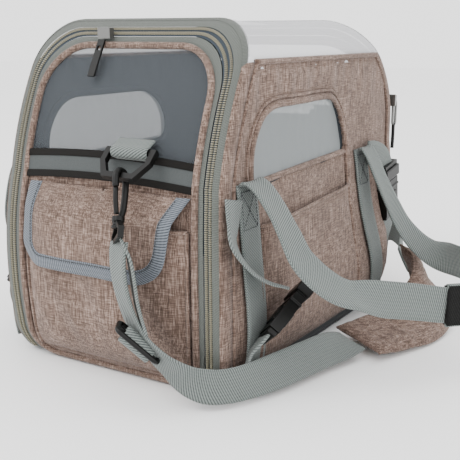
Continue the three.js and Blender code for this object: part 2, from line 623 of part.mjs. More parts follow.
// Drawn along +Z from the socket's foot, then turned to lie from foot to head and to face one way.
function buckle(name, foot, head, facing) {
  const { wide, thick, socket, plug, tongue, gap } = BUCKLE;
  const outer = block(0, 0, socket / 2, wide, thick, socket);
  const cavity = block(0, 0, socket / 2 + 5, wide - 9, thick - 4.6, socket);
  const shell = cut(outer, cavity);
  const stem = block(0, 0, socket - tongue / 2 + gap + 1, wide - 13, thick - 7.4, tongue + 2);
  const crown = block(0, 0, socket + gap + plug / 2, wide, thick - 1, plug);
  const slot = block(0, 0, socket + gap + plug - 6, wide - 8, thick + 2, 4.5);
  const male = cut(join(crown, stem), slot);
  const from = new THREE.Vector3(...foot);
  const along = new THREE.Vector3(...head).sub(from).normalize();
  const out = new THREE.Vector3(...facing);
  out.addScaledVector(along, -out.dot(along)).normalize();
  const basis = new THREE.Matrix4().makeBasis(new THREE.Vector3().crossVectors(out, along), out, along);
  basis.setPosition(from);
  add(`buckle_socket_${name}`, shell.applyMatrix4(basis), 'dark');
  add(`buckle_plug_${name}`, male.applyMatrix4(basis), 'dark');
}

const BUCKLE_FRONT = [[135, -134, 52], [147, -88, 84], [0.75, 0.24, -0.61]];
const BUCKLE_REAR = [[123, 166, 96], [123, 159, 140], [1, 0, 0]];
for (const [side, label] of [[1, 'right'], [-1, 'left']]) {
  const mirrored = ([x, y, z]) => [side * x, y, z];
  for (const [route, place] of [[BUCKLE_FRONT, 'front'], [BUCKLE_REAR, 'rear']]) {
    buckle(`${place}_${label}`, ...route.map(mirrored));
  }
}

// ---- zip sliders ------------------------------------------------------------------------------
const SLIDER = { wide: 9, long: 13, thick: 6 };
const TAB = { wide: 7, long: 34, thick: 2 };
const ZIP_X = HALF_WIDTH - 13 + 1.5;

function pullTab() {
  const shape = new THREE.Shape();
  const { wide, long } = TAB;
  shape.moveTo(-wide / 2, 0);
  shape.lineTo(wide / 2, 0);
  shape.lineTo(wide / 2, -long);
  shape.lineTo(-wide / 2, -long);
  const hole = new THREE.Path();
  hole.moveTo(-wide / 2 + 1.5, -6);
  hole.lineTo(-wide / 2 + 1.5, -10);
  hole.lineTo(wide / 2 - 1.5, -10);
  hole.lineTo(wide / 2 - 1.5, -6);
  shape.holes.push(hole);
  return new THREE.ExtrudeGeometry(shape, { depth: TAB.thick, bevelEnabled: false }).rotateX(Math.PI / 2);
}

// The rear slider sits high on the right of the rear zip, and runs down along it.
const REAR_SLIDER_Z = 214;
const rearSlide = new THREE.Vector3(0, endY(130, 1) - endY(REAR_SLIDER_Z, 1), 130 - REAR_SLIDER_Z).normalize();
const REAR_SLIDER_Y = endY(REAR_SLIDER_Z, 1) + 6.5;
const lean = Math.atan2(rearSlide.y, -rearSlide.z);
add('rear_zip_slider', new THREE.BoxGeometry(SLIDER.wide, SLIDER.thick, SLIDER.long)
  .rotateX(lean).translate(ZIP_X, REAR_SLIDER_Y, REAR_SLIDER_Z), 'zip');
add('rear_zip_pull', pullTab()
  .translate(ZIP_X, REAR_SLIDER_Y + SLIDER.thick / 2 + TAB.thick + 1.6, REAR_SLIDER_Z - 4), 'dark');

// The front slider sits on top of the front arch, left of the middle.
const FRONT_SLIDER_X = -30;
const FRONT_SLIDER_Z = TOP_Z - 13;
const FRONT_SLIDER_Y = -(endY(FRONT_SLIDER_Z, -1) + 7);
add('front_zip_slider', block(FRONT_SLIDER_X, FRONT_SLIDER_Y, FRONT_SLIDER_Z, SLIDER.long, SLIDER.thick, SLIDER.wide), 'zip');
add('front_zip_pull', pullTab()
  .rotateX(-0.5).translate(FRONT_SLIDER_X, FRONT_SLIDER_Y - SLIDER.thick / 2 - 1.2, FRONT_SLIDER_Z - 6), 'dark');

export default carrier;
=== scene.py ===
"""A soft-sided pet carrier bag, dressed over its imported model.

Lengths are millimetres until a mesh is made, and +Z is up. The front door faces -Y, and the
shoulder strap lies along the +X side. Each dataclass makes one sub-assembly of the bag.
"""

from __future__ import annotations

import logging
import math
from dataclasses import dataclass
from enum import Enum
from typing import Callable, Sequence

import bmesh
import bpy
import numpy as np
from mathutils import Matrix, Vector, noise


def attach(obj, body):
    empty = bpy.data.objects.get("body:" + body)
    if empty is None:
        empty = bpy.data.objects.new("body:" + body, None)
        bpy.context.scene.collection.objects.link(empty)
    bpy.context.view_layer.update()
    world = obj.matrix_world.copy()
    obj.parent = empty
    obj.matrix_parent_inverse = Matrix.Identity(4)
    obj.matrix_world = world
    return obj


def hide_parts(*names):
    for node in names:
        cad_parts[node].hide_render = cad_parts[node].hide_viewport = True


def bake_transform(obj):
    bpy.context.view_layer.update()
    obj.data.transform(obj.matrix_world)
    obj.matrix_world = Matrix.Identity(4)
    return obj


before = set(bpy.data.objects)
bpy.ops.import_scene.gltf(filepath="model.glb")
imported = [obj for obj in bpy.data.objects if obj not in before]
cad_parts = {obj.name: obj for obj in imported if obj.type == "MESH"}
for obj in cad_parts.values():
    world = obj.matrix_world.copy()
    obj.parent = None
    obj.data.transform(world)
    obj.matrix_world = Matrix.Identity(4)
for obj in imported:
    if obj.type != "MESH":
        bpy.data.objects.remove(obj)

logging.basicConfig(level=logging.INFO, format="%(message)s")
log = logging.getLogger("carrier")

MM = 0.001
Array = np.ndarray
Across = Callable[[float], Array]
Edge = Callable[[Array], Array]


# ---- the bag's outer form -----------------------------------------------------------------------
@dataclass(frozen=True)
class EndProfile:
    """How far an end's face stands from the middle of the bag at each height."""

    belly: float
    low_z: float
    tuck: float
    tuck_power: float
    high_z: float
    span: float
    lean: float
    lean_power: float
    heel: float = 0.0

    def at(self, z: Array) -> Array:
        """Args: z: heights. Returns: distances from the middle of the bag."""
        below = np.clip((self.low_z - z) / self.low_z, 0, None) ** self.tuck_power
        above = np.clip((z - self.high_z) / self.span, 0, None) ** self.lean_power
        heel = self.heel * np.clip((30 - z) / 30, 0, 1) ** 2
        return self.belly - self.tuck * below - self.lean * above - heel


FRONT = EndProfile(175, 90, 8, 2, 90, 90, 9.2, 2.3, 10)
REAR = EndProfile(198, 60, 51, 2.84, 200, 70, 45, 1.9)

HALF_WIDTH = 111.0
TOP_Z = 302.0
SIDE_FOOT_Z = 16.0
SIDE_TOP_Z = 267.0
ARCH_ROUND = 40.0
HOOP_DEPTH = 17.5
DOOR_FOOT_Z = 3.6
STRAP_WIDE = 30.0
STRAP_THICK = 2.4
SPLAY = 5.0
SPLAY_TOP_Z = 172
FOOT_TUCK = 4
FOOT_TUCK_Z = 28


def end_y(z: Array, end: int) -> Array:
    """Args: z: heights; end: -1 front, 1 rear. Returns: signed y of that end's face."""
    return end * (FRONT if end < 0 else REAR).at(np.asarray(z, float))


def spread(z: Array) -> Array:
    """Args: z: heights. Returns: how far the hoops splay out there."""
    splay = SPLAY * np.sin(np.pi * np.clip(z, 0, SPLAY_TOP_Z) / SPLAY_TOP_Z) ** 0.8
    return splay - FOOT_TUCK * np.clip((FOOT_TUCK_Z - z) / FOOT_TUCK_Z, 0, 1) ** 2


def side_bulge(y: Array, z: Array) -> Array:
    """Args: y, z: places on a side. Returns: how far the soft side swells out there."""
    fore = -end_y(z, -1) - HOOP_DEPTH
    aft = end_y(z, 1) - HOOP_DEPTH
    along = np.clip((y + fore) / (fore + aft), 0, 1)
    fade = 1 - np.abs(2 * along - 1) ** 8
    belly = (7 + 11 * along) * np.exp(-(((z - 45) / 55) ** 2))
    slack = -3.2 * np.exp(-(((z - 205) / 30) ** 2)) * np.sin(np.pi * along)
    return fade * (belly + slack)


def side_points(side: int, y: Array, z: Array, off: Array | float = 0.0) -> Array:
    """Args: side: 1 right, -1 left; y, z: places; off: distance out. Returns: points."""
    out = HALF_WIDTH + spread(z) + side_bulge(y, z) + off
    return np.stack([side * out, y, z + 0 * y], axis=-1)


class Polyline:
    """A line through points, measured along its length."""

    def __init__(self, points: Sequence[Sequence[float]] | Array) -> None:
        self.points = np.asarray(points, float)
        steps = np.linalg.norm(np.diff(self.points, axis=0), axis=1)
        self.marks = np.concatenate([[0.0], np.cumsum(steps)])
        self.length = float(self.marks[-1])

    @classmethod
    def smooth(cls, points: Sequence[Sequence[float]], per: int = 14) -> "Polyline":
        """A centripetal Catmull-Rom curve. Args: points: given; per: steps a span."""
        p = np.asarray(points, float)
        p = np.vstack([2 * p[0] - p[1], p, 2 * p[-1] - p[-2]])
        out = []
        for i in range(1, len(p) - 2):
            a, b, c, d = p[i - 1 : i + 3]
            t0 = 0.0
            t1 = t0 + np.linalg.norm(b - a) ** 0.5
            t2 = t1 + np.linalg.norm(c - b) ** 0.5
            t3 = t2 + np.linalg.norm(d - c) ** 0.5
            for t in np.linspace(t1, t2, per, endpoint=False):
                ab = (t1 - t) / (t1 - t0) * a + (t - t0) / (t1 - t0) * b
                bc = (t2 - t) / (t2 - t1) * b + (t - t1) / (t2 - t1) * c
                cd = (t3 - t) / (t3 - t2) * c + (t - t2) / (t3 - t2) * d
                abc = (t2 - t) / (t2 - t0) * ab + (t - t0) / (t2 - t0) * bc
                bcd = (t3 - t) / (t3 - t1) * bc + (t - t1) / (t3 - t1) * cd
                out.append((t2 - t) / (t2 - t1) * abc + (t - t1) / (t2 - t1) * bcd)
        out.append(p[-2])
        return cls(out)

    def at(self, s: Array) -> Array:
        """Args: s: lengths along. Returns: the points there."""
        columns = self.points.shape[1]
        return np.stack([np.interp(s, self.marks, self.points[:, k]) for k in range(columns)], -1)

    def tangent(self, s: Array) -> Array:
        """Args: s: lengths along. Returns: unit directions there."""
        reach = min(1.0, self.length / 50)
        ahead = self.at(np.clip(np.asarray(s) + reach, 0, self.length))
        behind = self.at(np.clip(np.asarray(s) - reach, 0, self.length))
        way = ahead - behind
        return way / np.maximum(np.linalg.norm(way, axis=-1, keepdims=True), 1e-9)


def arc(centre: tuple[float, float], radius: float, start: float, stop: float, steps: int = 12) -> Array:
    """Args: centre, radius, start and stop in degrees. Returns: points on the arc."""
    angles = np.radians(np.linspace(start, stop, steps))
    return np.stack([centre[0] + radius * np.cos(angles), centre[1] + radius * np.sin(angles)], -1)


def arch(inset: float, foot: float = DOOR_FOOT_Z) -> Polyline:
    """The end's round-topped outline. Args: inset: mm inwards; foot: its lowest z. Returns: it, from
    the right foot over the top."""
    half = HALF_WIDTH - inset
    top = TOP_Z - inset
    x, z = half - ARCH_ROUND, top - ARCH_ROUND
    rows = [arc((x, z), ARCH_ROUND, 0, 90), arc((-x, z), ARCH_ROUND, 90, 180)]
    if foot < z:
        rows = [[[half, foot]]] + rows + [[[-half, foot]]]
    return Polyline(np.vstack(rows))


def round_outline(half: float, low: float, high: float, r_low: float, r_high: float) -> Polyline:
    """A closed outline with round corners. Args: half: its half width; low, high: its ends; r_low,
    r_high: the corners' radii. Returns: it, from the middle of its foot."""
    rows = [[[0, low]], arc((half - r_low, low + r_low), r_low, -90, 0)]
    rows += [arc((half - r_high, high - r_high), r_high, 0, 90)]
    rows += [arc((-half + r_high, high - r_high), r_high, 90, 180)]
    rows += [arc((-half + r_low, low + r_low), r_low, 180, 270), [[0, low]]]
    return Polyline(np.vstack(rows))


def on_end(end: int, x: Array, z: Array, off: Array | float = 0.0) -> Array:
    """Args: end; x, z: places; off: distance in front of the face. Returns: points."""
    wide = x * (1 + spread(z) / HALF_WIDTH)
    return np.stack([wide, end_y(z, end) + end * off, z + 0 * x], axis=-1)


def ripple(points: Array, size: float, seed: float = 0.0) -> Array:
    """Smooth noise. Args: points; size: mm between swells; seed. Returns: values, -1 to 1."""
    flat = points.reshape(-1, 3) / size + seed
    return np.array([noise.noise(Vector(p)) for p in flat]).reshape(points.shape[:-1])


# ---- shader graphs ------------------------------------------------------------------------------
class Socket:
    """One output of a shader graph, with arithmetic."""

    def __init__(self, graph: "Graph", link: bpy.types.NodeSocket) -> None:
        self.graph = graph
        self.link = link

    def _math(self, operation: str, *values: "Socket | float") -> "Socket":
        """Args: operation: a maths node's; values. Returns: its result."""
        return self.graph.node("ShaderNodeMath", values, operation=operation)

    def __add__(self, other: "Socket | float") -> "Socket": return self._math("ADD", self, other)
    def __radd__(self, other: "Socket | float") -> "Socket": return self._math("ADD", other, self)
    def __sub__(self, other: "Socket | float") -> "Socket": return self._math("SUBTRACT", self, other)
    def __rsub__(self, other: "Socket | float") -> "Socket": return self._math("SUBTRACT", other, self)
    def __mul__(self, other: "Socket | float") -> "Socket": return self._math("MULTIPLY", self, other)
    def __rmul__(self, other: "Socket | float") -> "Socket": return self._math("MULTIPLY", other, self)
    def __truediv__(self, other: "Socket | float") -> "Socket": return self._math("DIVIDE", self, other)

    def wave(self, length: float) -> "Socket":
        """Args: length: metres a wave. Returns: a sine from 0 to 1."""
        turned = self * (2 * math.pi / length)
        return self._math("SINE", turned) * 0.5 + 0.5

    def over(self, low: float, high: float) -> "Socket":
        """Args: low, high: the ends of a ramp. Returns: 0 to 1 across it."""
        return self.graph.node("ShaderNodeMapRange", {"Value": self, "From Min": low, "From Max": high})


class Graph:
    """A material's nodes."""

    def __init__(self, name: str) -> None:
        self.material = bpy.data.materials.new(name)
        self.material.use_nodes = True
        self.tree = self.material.node_tree
        self.tree.nodes.clear()
        self.surface = self.tree.nodes.new("ShaderNodeBsdfPrincipled")
        self.output = self.tree.nodes.new("ShaderNodeOutputMaterial")
        self.tree.links.new(self.surface.outputs[0], self.output.inputs["Surface"])

    def node(self, kind: str, values: Sequence | dict = (), output: int | str = 0, **settings) -> Socket:
        """Adds a node. Args: kind; values: by place or by name; output; settings. Returns: output."""
        made = self.tree.nodes.new(kind)
        for key, value in settings.items():
            setattr(made, key, value)
        named = values.items() if isinstance(values, dict) else enumerate(values)
        for key, value in named:
            self.feed(made.inputs[key], value)
        return Socket(self, made.outputs[output])

    def feed(self, target: bpy.types.NodeSocket, value: "Socket | float | Colour") -> None:
        """Links a socket or sets a constant. Args: target; value."""
        if isinstance(value, Socket):
            self.tree.links.new(value.link, target)
        else:
            target.default_value = value

    def set(self, **values) -> None:
        """Sets inputs of the surface by name, spaces as underscores."""
        for key, value in values.items():
            self.feed(self.surface.inputs[key.replace("_", " ")], value)

    def place(self) -> tuple[Socket, Socket, Socket]:
        """Returns: the object's x, y and z."""
        point = self.node("ShaderNodeTexCoord", output="Object")
        return tuple(self.node("ShaderNodeSeparateXYZ", [point], output=k) for k in range(3))

    def uv(self) -> tuple[Socket, Socket]:
        """Returns: metres across and along the cloth."""
        point = self.node("ShaderNodeTexCoord", output="UV")
        return tuple(self.node("ShaderNodeSeparateXYZ", [point], output=k) for k in range(2))

    def speckle(self, size: float, stretch: tuple[float, float, float] = (1, 1, 1),
                detail: float = 2) -> Socket:
        """Args: size: metres a speck; stretch by axis; detail. Returns: noise, 0 to 1."""
        point = self.node("ShaderNodeTexCoord", output="Object")
        scale = tuple(s / size for s in stretch)
        moved = self.node("ShaderNodeVectorMath", [point, scale], operation="MULTIPLY")
        return self.node("ShaderNodeTexNoise", {"Vector": moved, "Scale": 1.0, "Detail": detail})

    def blend(self, share: Socket, low: Colour, high: Colour) -> Socket:
        """Args: share; low and high colours. Returns: the mixed colour."""
        values = {0: share, 6: low, 7: high}
        return self.node("ShaderNodeMix", values, output=2, data_type="RGBA")

    def raise_by(self, height: Socket, distance: float, strength: float = 1.0) -> None:
        """Bumps the surface. Args: height, 0 to 1; distance: metres; strength."""
        values = {"Height": height, "Distance": distance, "Strength": strength}
        self.set(Normal=self.node("ShaderNodeBump", values))


def tone(red: int, green: int, blue: int) -> tuple[float, float, float, float]:
    """Args: a colour as seen on a screen, 0 to 255. Returns: it as linear light."""
    return (*(((c / 255 + 0.055) / 1.055) ** 2.4 if c > 10 else c / 3294.6 for c in (red, green, blue)), 1.0)


Colour = tuple[float, float, float, float]


@dataclass(frozen=True)
class Melange:
    """Cloth woven from light and dark threads."""

    name: str
    dark: Colour
    middle: Colour
    light: Colour

    def make(self) -> bpy.types.Material:
        """Returns: the material."""
        g = Graph(self.name)
        upright = g.speckle(0.0006, (1.0, 1.0, 0.07), 3)
        level = g.speckle(0.0006, (0.07, 0.07, 1.0), 3)
        slub = g.speckle(0.0016, (1.0, 1.0, 0.06), 1)
        thread = upright * 0.44 + level * 0.36 + slub * 0.2
        lower = g.blend(thread.over(0.4, 0.505), self.dark, self.middle)
        woven = g.blend(thread.over(0.505, 0.61), lower, self.light)
        # Painted fold shade: large soft patches mix up to 28% towards the dark thread colour, standing in for
        # shade in the cloth's folds.
        painted_fold_shade = g.speckle(0.045, detail=1).over(0.35, 0.65)
        g.set(Base_Color=g.blend(painted_fold_shade * 0.28, woven, self.dark), Roughness=0.95)
        g.set(Specular_IOR_Level=0.15, Sheen_Weight=0.1, Sheen_Roughness=0.6)
        g.raise_by(thread, 0.0009, 0.7)
        return g.material


@dataclass(frozen=True)
class Webbing:
    """Ribbed webbing or tape: slanted ribs run across it, and cords lie along it. Its grooves are darkened
    with painted shade.
    """

    name: str
    groove_shade: Colour
    face: Colour
    rib: float
    cord: float
    slant: float = 0.55
    roughness: float = 0.8
    sheen: float = 0.12

    def make(self) -> bpy.types.Material:
        """Returns: the material."""
        g = Graph(self.name)
        across, along = g.uv()
        rib = (along + across * self.slant).wave(self.rib)
        cord = across.wave(self.cord)
        fuzz = g.speckle(0.0009)
        height = rib * 0.62 + cord * 0.08 + fuzz * 0.3
        # Painted shade: the colour falls from the face colour to the darker groove colour where the ribs
        # sink, with some random fibre grain mixed in.
        g.set(Base_Color=g.blend(height.over(0.1, 0.8), self.groove_shade, self.face))
        g.set(Roughness=self.roughness, Specular_IOR_Level=0.2, Sheen_Weight=self.sheen)
        g.raise_by(height, 0.0007, 0.8)
        return g.material


@dataclass(frozen=True)
class Net:
    """A fine knitted net that shows what is behind it."""

    name: str
    colour: Colour
    cover: float
    pitch: float
    painted_glow: float = 0.0

    def make(self) -> bpy.types.Material:
        """Returns: the material."""
        g = Graph(self.name)
        across, along = g.uv()
        rows = along.wave(self.pitch)
        columns = (across + rows * (self.pitch * 0.25)).wave(self.pitch)
        hole = (rows * columns).over(0.1, 0.8)
        g.set(Base_Color=self.colour, Roughness=0.7, Specular_IOR_Level=0.3)
        # Painted light: emission makes the net glow, standing in for daylight that comes through it from
        # outside; the net is no lamp.
        g.set(Emission_Color=self.colour, Emission_Strength=self.painted_glow)
        g.set(Alpha=self.cover + 0.04 - hole * 0.08)
        return g.material


@dataclass(frozen=True)
class Plain:
    """A smooth or lightly grained finish."""

    name: str
    colour: Colour
    roughness: float
    metallic: float = 0.0
    grain: float = 0.0006
    depth: float = 0.0001
    shine: float = 0.3

    def make(self) -> bpy.types.Material:
        """Returns: the material."""
        g = Graph(self.name)
        speck = g.speckle(self.grain)
        shade = tuple(c * 0.82 for c in self.colour[:3]) + (1.0,)
        g.set(Base_Color=g.blend(speck.over(0.35, 0.6), shade, self.colour))
        g.set(Roughness=speck * 0.12 + (self.roughness - 0.06), Metallic=self.metallic)
        g.set(Specular_IOR_Level=self.shine)
        g.raise_by(speck, self.depth, 0.6)
        return g.material


class Finish(Enum):
    """Every finish on the bag."""

    BROWN = Melange("brown melange", tone(66, 52, 44), tone(108, 88, 78), tone(156, 136, 125))
    WEBBING = Webbing("grey webbing", tone(50, 55, 54), tone(122, 129, 126), 0.0021, 0.0030)
    TAPE = Webbing("zip tape", tone(66, 69, 65), tone(100, 104, 99), 0.0013, 0.0022)
    BINDING = Webbing("flap binding", tone(44, 48, 54), tone(116, 122, 130), 0.0023, 0.004)
    STRIPE = Webbing("black edge weave", tone(6, 5, 4), tone(20, 17, 14), 0.0012, 0.0012, sheen=0.0)
    GRIP = Webbing("black grip", tone(4, 4, 4), tone(16, 16, 15), 0.0022, 0.003, sheen=0.0)
    REFLECTIVE = Plain("reflective tape", tone(62, 66, 66), 0.6, 0.0, 0.0009)
    NET = Net("door net", tone(78, 83, 88), 0.46, 0.0010)
    # Painted light: the window net glows to stand in for daylight seen through it from inside the bag.
    SIDE_NET = Net("window net", tone(112, 116, 117), 0.8, 0.0010, 0.75)
    # Painted reflection: the top net's near-white colour stands in for light from above reflected off it at a
    # grazing angle.
    TOP_NET = Net("top net", tone(226, 226, 229), 0.6, 0.0010)
    BASE = Plain("coated base", tone(50, 53, 55), 0.75, 0.0, 0.0011, 0.0002)
    LINING = Plain("grey lining", tone(46, 50, 54), 0.95, 0.0, 0.0015, 0.0003)
    FLEECE = Plain("fleece", tone(168, 168, 165), 1.0, 0.0, 0.0024, 0.0012)
    BOARD = Plain("board", tone(60, 60, 60), 0.8)
    PLASTIC = Plain("black plastic", tone(8, 8, 7), 0.4, 0.0, 0.0005, 0.00004, 0.22)
    METAL = Plain("gunmetal", tone(120, 120, 118), 0.35, 0.9, 0.0005, 0.00003)
    TOOTH = Plain("zip teeth", tone(138, 133, 114), 0.5)
    GAP = Plain("zip gap", tone(48, 56, 64), 0.8)
    THREAD = Plain("light thread", tone(128, 110, 100), 0.8)
    DARK_THREAD = Plain("dark thread", tone(64, 66, 68), 0.8)

    def material(self) -> bpy.types.Material:
        """Returns: the material, made once."""
        return bpy.data.materials.get(self.value.name) or self.value.make()


# ---- meshes -------------------------------------------------------------------------------------
def spawn(name: str, bm: bmesh.types.BMesh, finish: Finish, smooth: bool = True) -> bpy.types.Object:
    """Makes an object at the origin. Args: name; bm in metres; finish; smooth. Returns: it."""
    mesh = bpy.data.meshes.new(name)
    for face in bm.faces:
        face.smooth = smooth
    bm.to_mesh(mesh)
    bm.free()
    mesh.materials.append(finish.material())
    made = bpy.data.objects.new(name, mesh)
    bpy.context.scene.collection.objects.link(made)
    log.info("%s: %d faces", name, len(mesh.polygons))
    return made


def skin(rows: Array, closed: bool = False, caps: bool = False, keep: Array | None = None,
         out: Array | None = None) -> bmesh.types.BMesh:
    """Joins a grid of points with faces.

    Args: rows: n by m points, mm; closed: each row is a ring; caps: fill the end rings; keep: which
    cells stay; out: a direction that the faces look along. Returns: the mesh, metres, with UVs.
    """
    n, m = rows.shape[:2]
    bm = bmesh.new()
    verts = [[bm.verts.new(p * MM) for p in row] for row in rows]
    lay = bm.loops.layers.uv.new("UVMap")
    wide = np.linalg.norm(np.diff(rows, axis=1), axis=2).mean(axis=0)
    around = np.sum(wide) + np.linalg.norm(rows[0, -1] - rows[0, 0])
    u = np.concatenate([[0.0], np.cumsum(wide), [around]]) * MM
    tall = np.linalg.norm(np.diff(rows, axis=0), axis=2).mean(axis=1)
    v = np.concatenate([[0.0], np.cumsum(tall)]) * MM
    for i in range(n - 1):
        for j in range(m if closed else m - 1):
            if keep is not None and not keep[i, j]:
                continue
            k = (j + 1) % m
            face = bm.faces.new((verts[i][j], verts[i][k], verts[i + 1][k], verts[i + 1][j]))
            spots = ((u[j], v[i]), (u[j + 1], v[i]), (u[j + 1], v[i + 1]), (u[j], v[i + 1]))
            for loop, spot in zip(face.loops, spots):
                loop[lay].uv = spot
    if caps:
        bm.faces.new(verts[0][::-1])
        bm.faces.new(verts[-1])
    loose = [vert for vert in bm.verts if not vert.link_faces]
    bmesh.ops.delete(bm, geom=loose, context="VERTS")
    if closed:
        bmesh.ops.recalc_face_normals(bm, faces=bm.faces)
    elif out is not None:
        bm.normal_update()
        total = sum((face.normal * face.calc_area() for face in bm.faces), Vector())
        if total.dot(Vector(out)) < 0:
            bmesh.ops.reverse_faces(bm, faces=bm.faces)
    return bm


def thicken(made: bpy.types.Object, thick: float, offset: float = -1.0,
            lined: bool = False) -> bpy.types.Object:
    """Gives a sheet its thickness. Args: made; thick: mm; offset as Blender's; lined: its inner face
    has the grey lining. Returns: made."""
    solid = made.modifiers.new("thickness", "SOLIDIFY")
    solid.thickness = thick * MM
    solid.offset = offset
    if lined:
        made.data.materials.append(Finish.LINING.material())
        solid.material_offset = 1
    return made


def turning(*ways: Sequence[float]) -> Across:
    """Args: ways: directions along a strap. Returns: a function that blends them, 0 to 1."""
    table = np.asarray(ways, float)
    marks = np.linspace(0, 1, len(table))
    return lambda t: np.array([np.interp(t, marks, table[:, k]) for k in range(3)])


def frames(line: Polyline, across: Across, s: Array) -> tuple[Array, Array, Array]:
    """Args: line; across; s: lengths along. Returns: points, ways across and ways off the face."""
    centre = line.at(s)
    along = line.tangent(s)
    side = np.array([across(t) for t in s / line.length])
    side -= along * np.sum(side * along, axis=1, keepdims=True)
    side /= np.linalg.norm(side, axis=1, keepdims=True)
    return centre, side, np.cross(side, along)


def ribbon(name: str, line: Polyline, across: Across, finish: Finish, wide: float = STRAP_WIDE,
           thick: float = STRAP_THICK, step: float = 4.0, cup: float = 0.0) -> bpy.types.Object:
    """A flat strap. Args: name; line; across; finish; wide, thick; step: mm a row; cup: mm that its
    middle stands off. Returns: the strap."""
    s = np.linspace(0, line.length, max(4, int(line.length / step)))
    centre, side, up = frames(line, across, s)
    a, b = wide / 2, thick / 2
    half = [(-a, -b * 0.3), (-a + 0.7, -b)]
    half += [(x, -b) for x in np.linspace(-a + 0.7, a - 0.7, 7)[1:-1]] + [(a - 0.7, -b), (a, -b * 0.3)]
    ring = half + [(-x, -h) for x, h in half]
    rows = np.stack([centre + side * x + up * (h + cup * (1 - (x / a) ** 2)) for x, h in ring], axis=1)
    return spawn(name, skin(rows, closed=True, caps=True), finish)


def tube(name: str, line: Polyline, radius: float, finish: Finish, loop: bool = False, sides: int = 8,
         step: float = 3.0, flat: float = 1.0) -> bpy.types.Object:
    """A round cord or piping. Args: name; line; radius; finish; loop: joined end to end; sides; step;
    flat: its height against its width. Returns: the tube."""
    s = np.linspace(0, line.length, max(6, int(line.length / step)))
    centre = line.at(s)
    along = line.tangent(s)
    if loop:
        along[0] = along[-1] = (along[0] + along[-1]) / 2
    hint = np.array([0.3, 0.2, 0.93])
    if abs(along[:, 2]).mean() > 0.7:
        hint = np.array([0.9, 0.3, 0.1])
    side = np.cross(along, hint)
    for i in range(len(side)):
        if i:
            side[i] = side[i - 1] - along[i] * side[i - 1].dot(along[i])
        side[i] /= np.linalg.norm(side[i])
    up = np.cross(side, along)
    turns = np.linspace(0, 2 * math.pi, sides, endpoint=False)
    rows = np.stack([centre + radius * (side * math.cos(a) + up * flat * math.sin(a)) for a in turns], axis=1)
    return spawn(name, skin(rows, closed=True, caps=not loop), finish)


BRICK = np.array([(x, y, z) for x in (-0.5, 0.5) for y in (-0.5, 0.5) for z in (-0.5, 0.5)])
BRICK_FACES = ((0, 1, 3, 2), (4, 6, 7, 5), (0, 4, 5, 1), (2, 3, 7, 6), (0, 2, 6, 4), (1, 5, 7, 3))


def bricks(name: str, centre: Array, ways: Sequence[Array], size: Sequence[float], finish: Finish,
           taper: float = 0.7) -> bpy.types.Object:
    """Many small pieces, such as teeth or stitches. Args: name; centre: points; ways: three
    directions for each; size: mm along them; finish; taper of the outer face. Returns: them."""
    bm = bmesh.new()
    shape = BRICK.copy()
    shape[shape[:, 2] > 0, :2] *= taper
    x, y, z = (np.broadcast_to(w, centre.shape) for w in ways)
    for i, middle in enumerate(centre):
        corners = middle + sum(shape[:, k, None] * size[k] * w[i] for k, w in enumerate((x, y, z)))
        verts = [bm.verts.new(p * MM) for p in corners]
        for face in BRICK_FACES:
            bm.faces.new([verts[k] for k in face])
    bmesh.ops.recalc_face_normals(bm, faces=bm.faces)
    return spawn(name, bm, finish, smooth=False)


def stitching(name: str, line: Polyline, normal: Array, finish: Finish = Finish.THREAD, pitch: float = 3.4,
              thread: float = 0.55) -> bpy.types.Object:
    """A row of stitches. Args: name; line on the cloth; normal: one or one a stitch; finish;
    pitch; thread: its thickness. Returns: the stitches."""
    s = np.arange(pitch, line.length - pitch / 2, pitch)
    along = line.tangent(s)
    up = np.broadcast_to(np.asarray(normal, float), along.shape)
    up = up - along * np.sum(up * along, axis=1, keepdims=True)
    up /= np.linalg.norm(up, axis=1, keepdims=True)
    size = (pitch * 0.72, thread, thread)
    return bricks(name, line.at(s), (along, np.cross(up, along), up), size, finish)


def joined(name: str, *made: bpy.types.Object) -> bpy.types.Object:
    """Makes one object of several. Args: name; made: the first's finish comes first. Returns: it."""
    bpy.ops.object.select_all(action="DESELECT")
    for piece in made:
        piece.select_set(True)
    bpy.context.view_layer.objects.active = made[0]
    bpy.ops.object.join()
    made[0].name = name
    return made[0]


def dress(piece: bpy.types.Object, body: str, slot: str, *nodes: str) -> bpy.types.Object:
    """Puts a piece on a body. Args: piece; body; slot: not used; nodes that it stands for. Returns: piece."""
    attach(piece, body)
    if nodes:
        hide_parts(*nodes)
    return piece


SIDES = ((1, "right"), (-1, "left"))
ENDS = ((-1, "front"), (1, "rear"))


